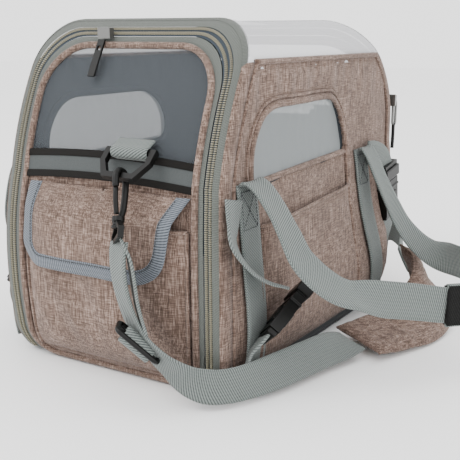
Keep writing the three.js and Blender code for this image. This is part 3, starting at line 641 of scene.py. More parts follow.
# ---- camera, light and floor --------------------------------------------------------------------
@dataclass
class Studio:
    """Camera, soft light and a pale floor."""

    place: tuple[float, float, float] = (0.433, -0.690, 0.290)
    tilt: float = 76.5
    turn: float = 31.0
    lens: float = 64.6
    floor: float = 12.0
    sensor: float = 36.0
    sky: float = 2.2
    clip: float = 0.01

    def build(self) -> None:
        """Makes the camera, world, lamps and floor."""
        data = bpy.data.cameras.new("camera")
        data.lens = self.lens
        data.sensor_width = self.sensor
        data.clip_start = self.clip
        camera = bpy.data.objects.new("camera", data)
        camera.location = self.place
        camera.rotation_euler = (math.radians(self.tilt), 0, math.radians(self.turn))
        bpy.context.scene.collection.objects.link(camera)
        bpy.context.scene.camera = camera
        world = bpy.data.worlds.new("studio")
        world.use_nodes = True
        back = world.node_tree.nodes["Background"]
        back.inputs[0].default_value = (1, 1, 1, 1)
        back.inputs[1].default_value = self.sky
        bpy.context.scene.world = world
        self.lamp("key", (-0.7, -1.4, 1.7), 26, 1.2)
        self.lamp("fill", (1.7, -0.6, 1.0), 8, 1.6)
        bm = bmesh.new()
        bmesh.ops.create_grid(bm, x_segments=1, y_segments=1, size=self.floor / 2)
        ground = spawn("floor", bm, Finish.THREAD)
        paper = Graph("paper")
        paper.set(Base_Color=(0.95, 0.95, 0.95, 1), Roughness=0.9, Specular_IOR_Level=0.1)
        ground.data.materials[0] = paper.material
        ground.location.z = -0.0005

    def lamp(self, name: str, place: tuple[float, float, float], power: float, size: float) -> None:
        """Adds a square lamp that faces the bag. Args: name; place; power: watts; size: metres."""
        data = bpy.data.lights.new(name, "AREA")
        data.energy = power
        data.size = size
        lamp = bpy.data.objects.new(name, data)
        lamp.location = place
        lamp.rotation_euler = (Vector((0, 0, 0.15)) - Vector(place)).to_track_quat("-Z", "Y").to_euler()
        bpy.context.scene.collection.objects.link(lamp)


# ---- shoulder strap -----------------------------------------------------------------------------
@dataclass
class ShoulderStrap:
    """The strap from the front hook, down past the adjuster, along the side to the rear hook."""

    FRONT = ((45, -209, 134), (45.5, -212.5, 122), (46.5, -212.5, 105), (49.5, -211, 88),
             (56, -209, 69), (65, -207, 54.5), (76, -205, 44), (89, -202, 34.5), (101, -196, 26),
             (113, -187, 21), (124, -173, 19.5), (133, -151, 19), (141, -122, 18.6), (148, -92, 18.4),
             (154, -62, 17.6), (158.6, -37, 15.4), (161, -19, 13))
    REAR = ((148.5, 151, 47.8), (142, 168, 50), (132, 194, 54), (121, 214, 60), (106, 229, 63),
            (91, 238, 58), (75, 244, 54), (58, 247.5, 60), (49, 249, 80), (47, 249.7, 100),
            (46, 249.7, 120), (45, 246, 132))
    PLY = ((46, -207, 134), (53, -208, 122), (56, -207.5, 104), (58, -207, 88), (61, -206, 74),
           (65, -206, 62))

    def declare(self, ends: tuple[str, str]) -> None:
        """Hides the imported nodes that a strap stands for. Args: ends: those nodes."""
        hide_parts(*ends)

    def build(self) -> None:
        """Makes both straps and the second ply."""
        line = Polyline.smooth(self.FRONT)
        across = turning((0.86, -0.5, 0), (0.86, -0.5, 0), (0.8, -0.5, 0.25), (0.5, -0.45, 0.75),
                         (0.15, 0.05, 1), (-0.1, 0, 1), (-0.4, 0, 0.9), (-0.45, 0, 0.85), (-0.6, 0, 0.8),
                         (-0.85, -0.4, 0.3))
        front = ribbon("strap_front_webbing", line, across, Finish.WEBBING, step=3, cup=0.6)
        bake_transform(front)
        ply_line = Polyline.smooth(self.PLY)
        ply = ribbon("strap_front_ply", ply_line, turning((0.69, -0.72, 0), (0.66, -0.7, 0.2)),
                     Finish.WEBBING, step=3)
        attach(ply, "front_door")
        self.declare(("strap_front", "strap_side"))
        back = Polyline.smooth(self.REAR)
        turn = turning((-0.3, -0.4, 0.9), (-0.2, -0.2, 1), (0, 0, 1), (0.3, 0, 1), (0.6, 0.3, 0.8),
                       (0.69, 0.72, 0.2), (0.69, 0.72, 0))
        rear = ribbon("strap_rear_webbing", back, turn, Finish.WEBBING, step=3, cup=0.6)
        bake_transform(rear)
        self.declare(("strap_rear_side", "strap_rear"))


@dataclass
class ShoulderPad:
    """The padded sleeve on the strap: crowned faces and brown piping along its two long edges."""

    wide: float = 58.0
    thick: float = 13.0
    RUN = ((163, -11, 12), (178, 22, 12), (193, 58, 16), (196, 96, 26), (180, 128, 38), (154, 146, 46))

    def build(self) -> None:
        """Makes the pad and its binding."""
        line = Polyline.smooth(self.RUN)
        across = turning((-0.85, 0.5, 0.12), (-0.9, 0.35, 0.25), (-0.8, 0.1, 0.6), (-0.5, -0.3, 0.8),
                         (-0.3, -0.4, 0.9))
        s = np.linspace(0, line.length, 80)
        centre, side, up = frames(line, across, s)
        a = self.wide / 2
        ends = np.sqrt(np.clip(1 - np.abs(2 * s / line.length - 1) ** 10, 0.05, 1))
        turns = np.linspace(0, 2 * math.pi, 36, endpoint=False)
        ring = []
        for t in turns:
            x = a * math.copysign(abs(math.cos(t)) ** 0.35, math.cos(t))
            h = self.thick / 2 * math.copysign(abs(math.sin(t)) ** 0.8, math.sin(t))
            crease = 1 - 0.45 * math.exp(-((x / a / 0.12) ** 2))
            quilt = crease * (1 - 0.18 * np.exp(-(((s % 34) - 17) / 2.5) ** 2))
            ring.append(centre + side * x + up * (h * ends * quilt)[:, None])
        rows = np.stack(ring, axis=1)
        rows += up[:, None] * (0.5 * ripple(rows, 14))[..., None]
        pad = spawn("shoulder_pad_sleeve", skin(rows, closed=True, caps=True), Finish.BROWN)
        dress(pad, "root", "brown_fabric", "shoulder_pad")
        edges = []
        for way in (-1, 1):
            path = Polyline(centre + side * (way * (a - 0.5)))
            edges.append(tube(f"pad_edge_{way}", path, 1.5, Finish.BROWN))
        dress(joined("shoulder_pad_piping", *edges), "root", "brown_fabric")


# ---- sides --------------------------------------------------------------------------------------
@dataclass
class SideWindow:
    """The window's outline: round upper corners and a lower edge that rises towards the rear."""

    front: float = -120.0
    rear: float = 64.0
    top: float = 229.0
    low_front: float = 171.0
    low_rear: float = 176.0
    round: float = 44.0

    def outline(self, grow: float = 0.0) -> Polyline:
        """Args: grow: mm outwards. Returns: the closed outline as y, z."""
        r = self.round + grow
        front, rear, top = self.front - grow, self.rear + grow, self.top + grow
        low = 9.0 + grow
        rows = [[[0, self.low_front + 3 - grow]], arc((rear - low, self.low_rear - grow + low), low, -90, 0)]
        rows += [arc((rear - r, top - r), r, 0, 90, 16), arc((front + r, top - r), r, 90, 180, 16)]
        rows += [arc((front + low, self.low_front - grow + low), low, 180, 270)]
        rows += [[[0, self.low_front + 3 - grow]]]
        return Polyline(np.vstack(rows))

    def gate(self, grow: float) -> Polyline:
        """Args: grow: mm outwards. Returns: the seam over the window and down to the base, as y, z."""
        r = self.round + grow
        front, rear, top = self.front - grow, self.rear + grow, self.top + grow
        rows = [[[rear, SIDE_FOOT_Z]], arc((rear - r, top - r), r, 0, 90, 16)]
        rows += [arc((front + r, top - r), r, 90, 180, 16), [[front, SIDE_FOOT_Z]]]
        return Polyline(np.vstack(rows))

    def inside(self, y: Array, z: Array, grow: float) -> Array:
        """Args: y, z: places; grow. Returns: which are inside the outline."""
        ring = self.outline(grow).points
        found = np.zeros(y.shape, bool)
        for (y0, z0), (y1, z1) in zip(ring[:-1], ring[1:]):
            if z0 == z1:
                continue
            spans = (z0 > z) != (z1 > z)
            found ^= spans & (y < (y1 - y0) * (z - z0) / (z1 - z0) + y0)
        return found


@dataclass
class Side:
    """One long side: panel, window, pocket, webbing and piping."""

    side: int
    label: str
    window: SideWindow
    pocket_front: float = -116.0
    pocket_rear: float = 66.0

    def grid(self, y0: Edge, y1: Edge, z0: float, z1: float, ny: int, nz: int) -> tuple[Array, Array]:
        """Args: y0, y1: edges as functions of z; z0, z1; counts. Returns: y and z of a grid."""
        z = np.linspace(z0, z1, nz)[:, None]
        u = np.linspace(0, 1, ny)[None, :]
        return y0(z) + (y1(z) - y0(z)) * u, z + 0 * u

    def wrap(self, name: str, y: Array, z: Array, off: float | Array, finish: Finish,
             keep: Array | None = None) -> bpy.types.Object:
        """Lays a grid on the side. Args: name; y, z: places; off: mm outwards; finish; keep: as skin's.
        Returns: the cloth."""
        points = side_points(self.side, y, z, off)
        return spawn(name, skin(points, keep=keep, out=(self.side, 0, 0)), finish)

    def line(self, path: Polyline, off: float) -> Polyline:
        """Lays a y, z line on the side. Args: path; off. Returns: it in space."""
        s = np.linspace(0, path.length, max(8, int(path.length / 2.5)))
        p = path.at(s)
        return Polyline(side_points(self.side, p[:, 0], p[:, 1], off))

    def relief(self, y: Array, z: Array) -> Array:
        """Args: y, z: places. Returns: how far the panel's folds and puckers stand out there."""
        seam = np.minimum(z - SIDE_FOOT_Z, SIDE_TOP_Z - z)
        pucker = 0.8 * np.sin(y / 2.6 + 2 * np.sin(y / 17)) * np.exp(-seam / 9) * np.clip(seam / 5, 0, 1)
        soft = 2.0 * ripple(np.stack([y * 0.7 + z * 0.25, z * 0.8, 0 * y], -1), 42, self.side)
        crown = np.exp(-((z - 245) / 22) ** 2)
        soft += 2.6 * ripple(np.stack([y * 1.6, z * 0.35, 0 * y], -1), 24, 7.0) * crown
        edge = np.clip(seam / 12, 0, 1)
        return pucker + soft * edge

    def sewn(self, path: Polyline, off: float) -> Polyline:
        """Lays a y, z line on the folded panel. Args: path; off. Returns: it in space."""
        p = path.at(np.linspace(0, path.length, max(8, int(path.length / 2.5))))
        y, z = p[:, 0], p[:, 1]
        return Polyline(side_points(self.side, y, z, off + self.relief(y, z)))

    def panel(self) -> None:
        """The brown panel, with puckers beside its seams and the window cut out."""
        y, z = self.grid(lambda z: end_y(z, -1) + HOOP_DEPTH, lambda z: end_y(z, 1) - HOOP_DEPTH,
                         SIDE_FOOT_Z, SIDE_TOP_Z, 250, 168)
        mid_y = (y[1:, 1:] + y[:-1, :-1]) / 2
        mid_z = (z[1:, 1:] + z[:-1, :-1]) / 2
        keep = ~self.window.inside(mid_y, mid_z, 1.2)
        cloth = self.wrap(f"side_cloth_{self.label}", y, z, self.relief(y, z), Finish.BROWN, keep)
        dress(thicken(cloth, 1.6, lined=True), "root", "brown_fabric", f"side_panel_{self.label}")

    def pane(self) -> None:
        """The net, hung a little slack in vertical folds, and the bound piping round it."""
        w = self.window
        y, z = self.grid(lambda z: w.front - 5 + 0 * z, lambda z: w.rear + 5 + 0 * z,
                         w.low_front - 6, w.top + 5, 110, 46)
        height = (z - w.low_front) / (w.top - w.low_front)
        folds = np.sin(y / 3.1 + 1.7 * np.sin(y / 23)) * (0.25 + 0.5 * np.abs(2 * height - 1) ** 3)
        sag = -2.2 * np.sin(np.pi * np.clip(height, 0, 1))
        mid_y = (y[1:, 1:] + y[:-1, :-1]) / 2
        mid_z = (z[1:, 1:] + z[:-1, :-1]) / 2
        keep = w.inside(mid_y, mid_z, 2.6)
        net = self.wrap(f"window_net_{self.label}", y, z, folds + sag - 1.4, Finish.SIDE_NET, keep)
        dress(net, "root", "mesh", f"side_window_{self.label}")
        rim = tube("rim", self.sewn(w.gate(3.2), 0.8), 3.4, Finish.BROWN, flat=0.7)
        cord = tube("cord", self.sewn(w.gate(8.6), 0.5), 1.5, Finish.BROWN)
        sill = Polyline([[w.front - 2, w.low_front - 0.6], [w.rear + 2, w.low_rear - 0.6]])
        hem = tube("hem", self.line(sill, 0.7), 3.0, Finish.BROWN, flat=0.8)
        dress(joined(f"window_piping_{self.label}", rim, cord, hem), "root", "brown_fabric")
        inner = tube(f"window_lining_{self.label}", self.line(w.outline(3.4), -3.6), 3.4, Finish.LINING,
                     loop=True)
        dress(inner, "root", "lining")
        seam = stitching(f"window_stitching_{self.label}", self.sewn(w.gate(11.4), 0.4), (self.side, 0, 0))
        dress(seam, "root", "brown_fabric")

    def pocket(self) -> None:
        """The slip pocket: a sheet that stands off at its hemmed top."""
        top = lambda y: 135 + 8 * (y - self.pocket_front) / (self.pocket_rear - self.pocket_front)
        u = np.linspace(0, 1, 96)[None, :]
        v = np.linspace(0, 1, 60)[:, None]
        y = self.pocket_front + (self.pocket_rear - self.pocket_front) * u + 0 * v
        z = 20 + (top(y) - 20) * v
        fade = 1 - np.abs(2 * u - 1) ** 10
        off = 1.0 + (0.8 + 5.6 * v**3) * fade + 0.8 * ripple(np.stack([y, z, 0 * y], -1), 30, 4.0)
        cloth = self.wrap(f"pocket_cloth_{self.label}", y, z, off, Finish.BROWN)
        dress(thicken(cloth, 1.4), "root", "brown_fabric", f"side_pocket_{self.label}")
        hem = Polyline(side_points(self.side, y[-1], z[-1], off[-1] - 0.4))
        dress(tube(f"pocket_hem_{self.label}", hem, 1.7, Finish.BROWN), "root", "brown_fabric")
        seam = Polyline(side_points(self.side, y[-4], z[-4], off[-4] + 0.2))
        dress(stitching(f"pocket_stitching_{self.label}", seam, (self.side, 0, 0)), "root", "brown_fabric")

    def webbing(self, y: float, lean: float, place: str) -> None:
        """One upright webbing with its stitched box. Args: y; lean: mm back at its foot; place."""
        z = np.linspace(174, 6, 50)
        back = y + lean * ((174 - z) / 164) ** 1.5
        lift = 1.5 + 0.5 * STRAP_THICK
        line = Polyline(side_points(self.side, back, z, lift))
        strap = ribbon(f"upright_{place}_{self.label}", line, turning((0, 1, 0)), Finish.WEBBING)
        dress(strap, "root", "webbing", f"webbing_{place}_{self.label}")
        half, low, high = 11.0, 138.0, 168.0
        corners = [(y - half, low), (y + half, low), (y + half, high), (y - half, high), (y - half, low),
                   (y + half, high), (y - half, high), (y + half, low)]
        path = self.line(Polyline(corners), lift + STRAP_THICK / 2 + 0.2)
        box = stitching(f"box_stitch_{place}_{self.label}", path, (self.side, 0, 0), Finish.DARK_THREAD, 3.0)
        dress(box, "root", "webbing")

    def edges(self) -> None:
        """Piping along the top, and down the seams to the end hoops."""
        z = np.array([SIDE_TOP_Z])
        y = np.linspace(end_y(z, -1)[0] + 16, end_y(z, 1)[0] - 16, 90)
        top = Polyline(side_points(self.side, y, SIDE_TOP_Z + 0 * y, 0.6))
        parts = [tube("top", top, 2.6, Finish.BROWN)]
        down = np.linspace(SIDE_FOOT_Z, SIDE_TOP_Z, 90)
        for end in (-1, 1):
            seam = side_points(self.side, end_y(down, end) - end * (HOOP_DEPTH + 0.5), down, 0.4)
            parts.append(tube("seam", Polyline(seam), 1.8, Finish.BROWN))
        dress(joined(f"side_piping_{self.label}", *parts), "root", "brown_fabric")
        seam = self.sewn(Polyline(np.stack([y, SIDE_TOP_Z - 6 + 0 * y], -1)), 0.4)
        dress(stitching(f"side_stitching_{self.label}", seam, (self.side, 0, 0)), "root", "brown_fabric")

    def build(self) -> None:
        """Makes the side."""
        self.panel()
        self.pane()
        self.pocket()
        self.webbing(-134, 4, "front")
        self.webbing(101, 14, "rear")
        self.edges()


# ---- ends ---------------------------------------------------------------------------------------
@dataclass
class End:
    """One end: the hoop with its half of the zip, and the drop-down door."""

    end: int
    label: str

    def band(self, name: str, profile: Sequence[tuple[float, float]], finish: Finish, start: float = 0.0,
             stop: float = 1.0) -> bpy.types.Object:
        """A strip round the arch. Args: name; profile: inset and depth pairs; finish; start and stop:
        shares of the arch from its right foot. Returns: it."""
        rows = []
        for inset, off in profile:
            path = arch(inset)
            p = path.at(np.linspace(start, stop, 150) * path.length)
            rows.append(on_end(self.end, p[:, 0], p[:, 1], off))
        return spawn(name, skin(np.stack(rows, axis=1), out=(0, self.end, 0)), finish)

    def teeth(self, name: str, inset: float, wide: float) -> bpy.types.Object:
        """A row of coil teeth. Args: name; inset; wide. Returns: the row."""
        path = arch(inset)
        s = np.arange(0.8, path.length, 1.7)
        p = path.at(s)
        centre = on_end(self.end, p[:, 0], p[:, 1], 0.1)
        t = path.tangent(s)
        along = np.stack([t[:, 0], 0 * s, t[:, 1]], -1)
        out = np.array([0.0, self.end, 0.0])
        return bricks(name, centre, (np.cross(out, along), along, out), (wide, 1.0, 1.5), Finish.TOOTH)

    def hoop(self) -> None:
        """The fixed half: teeth, tape and the brown corner that the sides are sewn to."""
        tape = self.band("tape", ((8.0, 0.2), (6.4, 0), (3.2, -1.2), (1.8, -2.6)), Finish.TAPE)
        dress(tape, "root", "tape", f"{self.label}_hoop")
        profile = ((2.6, -1.2), (1.2, -2.6), (0.2, -5.5), (0, -11), (0, -HOOP_DEPTH - 1))
        share = (SIDE_TOP_Z - DOOR_FOOT_Z) / arch(0).length
        for start, stop, place in ((0, share, "right"), (1 - share, 1, "left")):
            corner = self.band(f"{self.label}_corner_{place}", profile, Finish.BROWN, start, stop)
            dress(thicken(corner, 1.4), "root", "brown_fabric")
        over = self.band(f"{self.label}_hoop_edge", ((2.6, -1.2), (1.0, -3), (0.6, -7)), Finish.TAPE,
                         share, 1 - share)
        dress(over, "root", "tape")
        dress(self.teeth(f"{self.label}_hoop_teeth", 9.6, 2.4), "root", "tape")
        gap = self.band(f"{self.label}_zip_gap", ((15.6, -0.7), (8.2, -0.7)), Finish.GAP)
        dress(gap, "root", "tape")

    def frame(self) -> None:
        """The door's half: teeth, tape, and piping round its whole outline."""
        door = f"{self.label}_door"
        tape = self.band(f"{door}_tape", ((21.5, -0.4), (18.5, 0.1), (15.9, 0.1)), Finish.TAPE)
        dress(tape, door, "tape", f"{door}_frame")
        dress(self.teeth(f"{door}_teeth", 13.2, 2.8), door, "tape")
        outline = round_outline(HALF_WIDTH - 23, DOOR_FOOT_Z, TOP_Z - 23, 18, ARCH_ROUND)
        p = outline.at(np.linspace(0, outline.length, 320))
        ring = Polyline(on_end(self.end, p[:, 0], p[:, 1], 0.6))
        dress(tube(f"{door}_piping", ring, 3.0, Finish.BROWN, loop=True), door, "brown_fabric")
        inner = round_outline(HALF_WIDTH - 29.5, DOOR_FOOT_Z + 6.5, TOP_Z - 29.5, 13, ARCH_ROUND - 5)
        q = inner.at(np.linspace(0, inner.length, 320))
        q = q[(q[:, 1] < 160)]
        low = q[np.argsort(np.arctan2(q[:, 0], 90 - q[:, 1]))]
        seam = Polyline(on_end(self.end, low[:, 0], low[:, 1], 0.4))
        dress(stitching(f"{door}_stitching", seam, (0, self.end, 0)), door, "brown_fabric")

    def sheet(self, name: str, low: float, high: float, rise: float, finish: Finish,
              off: Callable[..., Array], rows: int, half: float = HALF_WIDTH - 24) -> bpy.types.Object:
        """Cloth inside the door's outline. Args: low, high; rise: in the middle; off(u, v). Returns: it."""
        u = np.linspace(-1, 1, 70)[None, :]
        v = np.linspace(0, 1, rows)[:, None]
        top, bottom = TOP_Z - 24.0, DOOR_FOOT_Z + 0.5
        z = low + (high - low) * v + rise * (1 - u**2)
        z = np.clip(z, bottom, top)
        above = np.clip(z - (top - ARCH_ROUND), 0, ARCH_ROUND)
        below = np.clip(bottom + 18 - z, 0, 18)
        width = half - ARCH_ROUND + np.sqrt(ARCH_ROUND**2 - above**2) - 18 + np.sqrt(18**2 - below**2)
        x = u * width
        points = on_end(self.end, x, z, off(u, v, x, z))
        return spawn(name, skin(points, out=(0, self.end, 0)), finish)

    def door(self) -> None:
        """Cloth below, net above and the reflective band between them."""
        door = f"{self.label}_door"

        def swell(u: Array, v: Array, x: Array, z: Array) -> Array:
            """Args: u, v: shares; x, z: places. Returns: how far the cloth stands out."""
            edge = (1 - u**4) * np.clip(v * 12, 0, 1)
            return -0.6 + 2.2 * (1 - u**2) * np.sin(np.pi * v) + 2.6 * edge * ripple(
                np.stack([x + 0.5 * z, 0 * x + z, 0 * x], -1), 32, 2.0 + self.end)

        def hang(u: Array, v: Array, x: Array, z: Array) -> Array:
            """Args: u, v: shares; x: places across; z. Returns: how far the net stands out."""
            folds = 0.5 * np.sin(x / 6 + 1.5 * np.sin(z / 19)) * (1 - v) ** 2
            return -1.2 + 2.4 * (1 - u**2) * np.sin(np.pi * v) + folds

        cloth = self.sheet(f"{door}_cloth", DOOR_FOOT_Z, 176, 0, Finish.BROWN, swell, 70)
        dress(thicken(cloth, 1.4, lined=True), door, "brown_fabric", f"{door}_panel")
        net = self.sheet(f"{door}_net", 172, TOP_Z - 24, 0, Finish.NET, hang, 50)
        dress(net, door, "mesh", f"{door}_window")
        face = lambda u, v, x, z: 1.6 + 2.0 * (1 - u**2) + 0 * v
        proud = lambda u, v, x, z: 2.4 + 2.0 * (1 - u**2) + 0 * v
        band = self.sheet(f"{door}_reflective", 168, 191, 4, Finish.REFLECTIVE, face, 8)
        dress(thicken(band, 1.0), door, "reflective", f"{door}_band")
        parts = []
        for low in (167.6, 185.4):
            weave = self.sheet("weave", low, low + 5.8, 4, Finish.STRIPE, proud, 4)
            parts.append(thicken(weave, 0.8))
        for part in parts:
            dress(part, door, "reflective")
        for part, place in zip(parts, ("low", "high")):
            part.name = f"{door}_stripe_{place}"

    def build(self) -> None:
        """Makes the end."""
        self.hoop()
        self.frame()
        self.door()


@dataclass
class CargoPocket:
    """The front door's pocket and the bound flap that covers its mouth."""

    left: float = -80.0
    right: float = 82.0
    low: float = 13.0
    high: float = 138.0
    depth: float = 11.5
    flap_low: float = 94.0
    flap_high: float = 165.0
    flap_round: float = 22.0
    binding: float = 11.0

    def pouch(self) -> None:
        """The pocket, sewn flat at its sides and foot and open at the top."""
        u = np.linspace(-1, 1, 90)[None, :]
        v = np.linspace(0, 1, 70)[:, None]
        x = (self.left + self.right) / 2 + (self.right - self.left) / 2 * u + 0 * v
        z = self.low + (self.high - self.low) * v + 0 * u
        swell = (1 - u**6) * (1 - (1 - v) ** 8)
        folds = 1.3 * ripple(np.stack([x + 0.6 * z, z * 0.5, 0 * x], -1), 30, 9.0)
        folds += 0.9 * ripple(np.stack([x * 1.4, z * 0.5, 0 * x], -1), 18, 3.0) * (1 - v)
        off = 1.6 + (self.depth - 1.6) * swell + 3.4 * swell * (folds - 0.4)
        cloth = spawn("cargo_cloth", skin(on_end(-1, x, z, off), out=(0, -1, 0)), Finish.BROWN)
        dress(thicken(cloth, 1.5), "front_door", "brown_fabric", "cargo_pocket")
        parts = [tube("hem", Polyline(on_end(-1, x[-1], z[-1], off[-1])), 1.8, Finish.BROWN)]
        for j in (0, -1):
            parts.append(tube("edge", Polyline(on_end(-1, x[:, j], z[:, j], 1.8)), 1.9, Finish.BROWN))
        dress(joined("cargo_piping", *parts), "front_door", "brown_fabric")

    def edge(self, inset: float) -> Array:
        """Args: inset: mm in from the flap's edge. Returns: its outline as x, z, left top round to right."""
        left, right, low = self.left + 1 + inset, self.right - 12 - inset, self.flap_low + inset
        r, wide = max(self.flap_round - inset, 4), max(self.flap_round + 10 - inset, 6)
        rows = [[[left + 1, self.flap_high]], [[left + 0.5, self.flap_low + 45]]]
        rows += [arc((left + r, low + r), r, 180, 270), arc((right - wide, low + wide), wide, 270, 350)]
        rows += [[[right + 4, self.flap_low + 52]], [[right + 14, self.flap_high]]]
        path = Polyline(np.vstack(rows))
        return path.at(np.linspace(0, path.length, 150))

    def hung(self, x: Array, z: Array) -> Array:
        """Args: x, z. Returns: how far the flap stands off the door, with puckers at its seam."""
        down = np.clip((self.flap_high - z) / 28, 0, 1)
        seam = np.exp(-(self.flap_high - z) / 15)
        fold = 1.3 * np.sin(x / 4.6 + 1.9 * np.sin(x / 21)) * seam
        soft = 2.0 * down * ripple(np.stack([x + 0.4 * z, z, 0 * x], -1), 36, 3.0)
        near = 1 - 0.6 * np.exp(-(((x - self.left) / 16) ** 2))
        return 2.8 + near * (self.depth - 0.4) * np.sin(down * math.pi / 2) + fold + soft

    def flap(self) -> None:
        """The flap, its binding and the dark stitch line along it."""
        ring = self.edge(0)
        middle = np.array([[1.0, self.flap_high]])
        t = np.linspace(1, 0.02, 50)[:, None, None]
        x, z = np.moveaxis(middle + (ring - middle) * t, -1, 0)
        cloth = spawn("flap_cloth", skin(on_end(-1, x, z, self.hung(x, z)), out=(0, -1, 0)), Finish.BROWN)
        dress(thicken(cloth, 1.5), "pocket_flap", "brown_fabric", "pocket_flap")
        rows = []
        for inset, lift in ((-0.8, -0.9), (-0.8, 0.5), (1.2, 1.0), (5, 1.1), (10, 1.0), (self.binding, 0.3)):
            p = self.edge(inset)
            rows.append(on_end(-1, p[:, 0], p[:, 1], self.hung(p[:, 0], p[:, 1]) + lift))
        tape = spawn("flap_binding", skin(np.stack(rows, 1), out=(0, -1, 0)), Finish.BINDING)
        dress(tape, "pocket_flap", "webbing")
        p = self.edge(self.binding - 1.6)
        seam = Polyline(on_end(-1, p[:, 0], p[:, 1], self.hung(p[:, 0], p[:, 1]) + 1.4))
        stitch = stitching("flap_stitching", seam, (0, -1, 0), Finish.DARK_THREAD, 3.0, 0.8)
        dress(stitch, "pocket_flap", "webbing")

    def build(self) -> None:
        """Makes the pocket and flap."""
        self.pouch()
        self.flap()


# ---- top, base and inside -----------------------------------------------------------------------
@dataclass
class Top:
    """The see-through top, slack between the two end hoops."""

    def build(self) -> None:
        """Makes the net."""
        path = arch(0.0, SIDE_TOP_Z)
        p = path.at(np.linspace(0, path.length, 110))
        v = np.linspace(0, 1, 70)[:, None]
        x, z = p[None, :, 0], p[None, :, 1]
        fore = end_y(z, -1) + 5
        aft = end_y(z, 1) - 5
        y = fore + (aft - fore) * v
        sag = 0.8 + 5.0 * np.sin(np.pi * v) * np.clip((z - SIDE_TOP_Z) / 30, 0, 1)
        points = np.stack([x * 0.995 + 0 * v, y, z - sag], -1)
        net = spawn("top_net", skin(points, out=(0, 0, 1)), Finish.TOP_NET)
        dress(net, "root", "mesh", "top_window")


@dataclass
class Base:
    """The coated base, turned up round the foot of the bag in three folds."""

    tall: float = 17.0

    def build(self) -> None:
        """Makes the base's cloth."""
        rows = []
        levels = ((0.0, -8), (0.0, -3), (1.6, -0.8), (5.0, 0), (5.6, -0.8), (6.2, 0.1), (11.4, 0.6),
                  (12, -0.3), (12.6, 0.7), (self.tall, 1.2), (self.tall + 0.6, -0.6))
        for z, grow in levels:
            rows.append(self.ring(z, grow))
        bm = skin(np.stack(rows[::-1], axis=0), closed=True, caps=True)
        dress(spawn("base_cloth", bm, Finish.BASE), "root", "base_grey", "base_panel")

    def ring(self, z: float, grow: float) -> Array:
        """Args: z; grow: mm outwards. Returns: the base's outline there."""
        y0 = float(end_y(9.0, -1)) + 6
        y1 = float(end_y(9.0, 1)) - 4
        r = 24.0 + grow
        x = HALF_WIDTH - 1 + grow + float(spread(max(z, 3.0)))
        front, rear = y0 - min(grow, 0.3), y1 + grow
        rows = [arc((x - r, front + r), r, -90, 0), [[x, -60]], [[x, 60]], arc((x - r, rear - r), r, 0, 90)]
        rows += [arc((-x + r, rear - r), r, 90, 180), [[-x, 60]], [[-x, -60]],
                 arc((-x + r, front + r), r, 180, 270)]
        flat = Polyline(np.vstack(rows + [rows[0][:1]]))
        p = flat.at(np.linspace(0, flat.length, 220, endpoint=False))
        bulge = side_bulge(p[:, 1], np.full(len(p), max(z, 8.0)))
        swell = np.sign(p[:, 0]) * bulge * (np.abs(p[:, 0]) / x) ** 6
        return np.stack([p[:, 0] + swell * 0.9, p[:, 1], np.full(len(p), z)], -1)


# ---- handles and buckles ------------------------------------------------------------------------
@dataclass
class Handle:
    """A carry handle: two webbings from the sides that meet in a padded grip."""

    label: str
    side: int
    front: Sequence[tuple[float, float, float]]
    rear: Sequence[tuple[float, float, float]]
    grip: Sequence[tuple[float, float, float]]
    front_across: Across
    rear_across: Across
    grip_across: Across

    def build(self) -> None:
        """Makes the handle."""
        body = f"handle_{self.label}"
        flip = np.array([self.side, 1, 1])
        arms = (("front", self.front, self.front_across), ("rear", self.rear, self.rear_across))
        for place, route, across in arms:
            line = Polyline.smooth(np.array(route) * flip)
            turned = lambda t, a=across: a(t) * flip
            strap = ribbon(f"{body}_{place}_webbing", line, turned, Finish.WEBBING, step=3, cup=1.2)
            dress(strap, body, "webbing", f"{body}_{place}")
        line = Polyline.smooth(np.array(self.grip) * flip)
        turned = lambda t: self.grip_across(t) * flip
        wrap = ribbon(f"{body}_wrap", line, turned, Finish.GRIP, STRAP_WIDE + 4, 8.0, 3, 1.0)
        dress(wrap, body, "grip", f"{body}_grip")
        s = np.linspace(0, line.length, 30)
        centre, across, _ = frames(line, turned, s)
        rims = [tube("rim", Polyline(centre + across * (k * (STRAP_WIDE / 2 + 1))), 2.4, Finish.WEBBING)
                for k in (-1, 1)]
        dress(joined(f"{body}_rims", *rims), body, "grip")


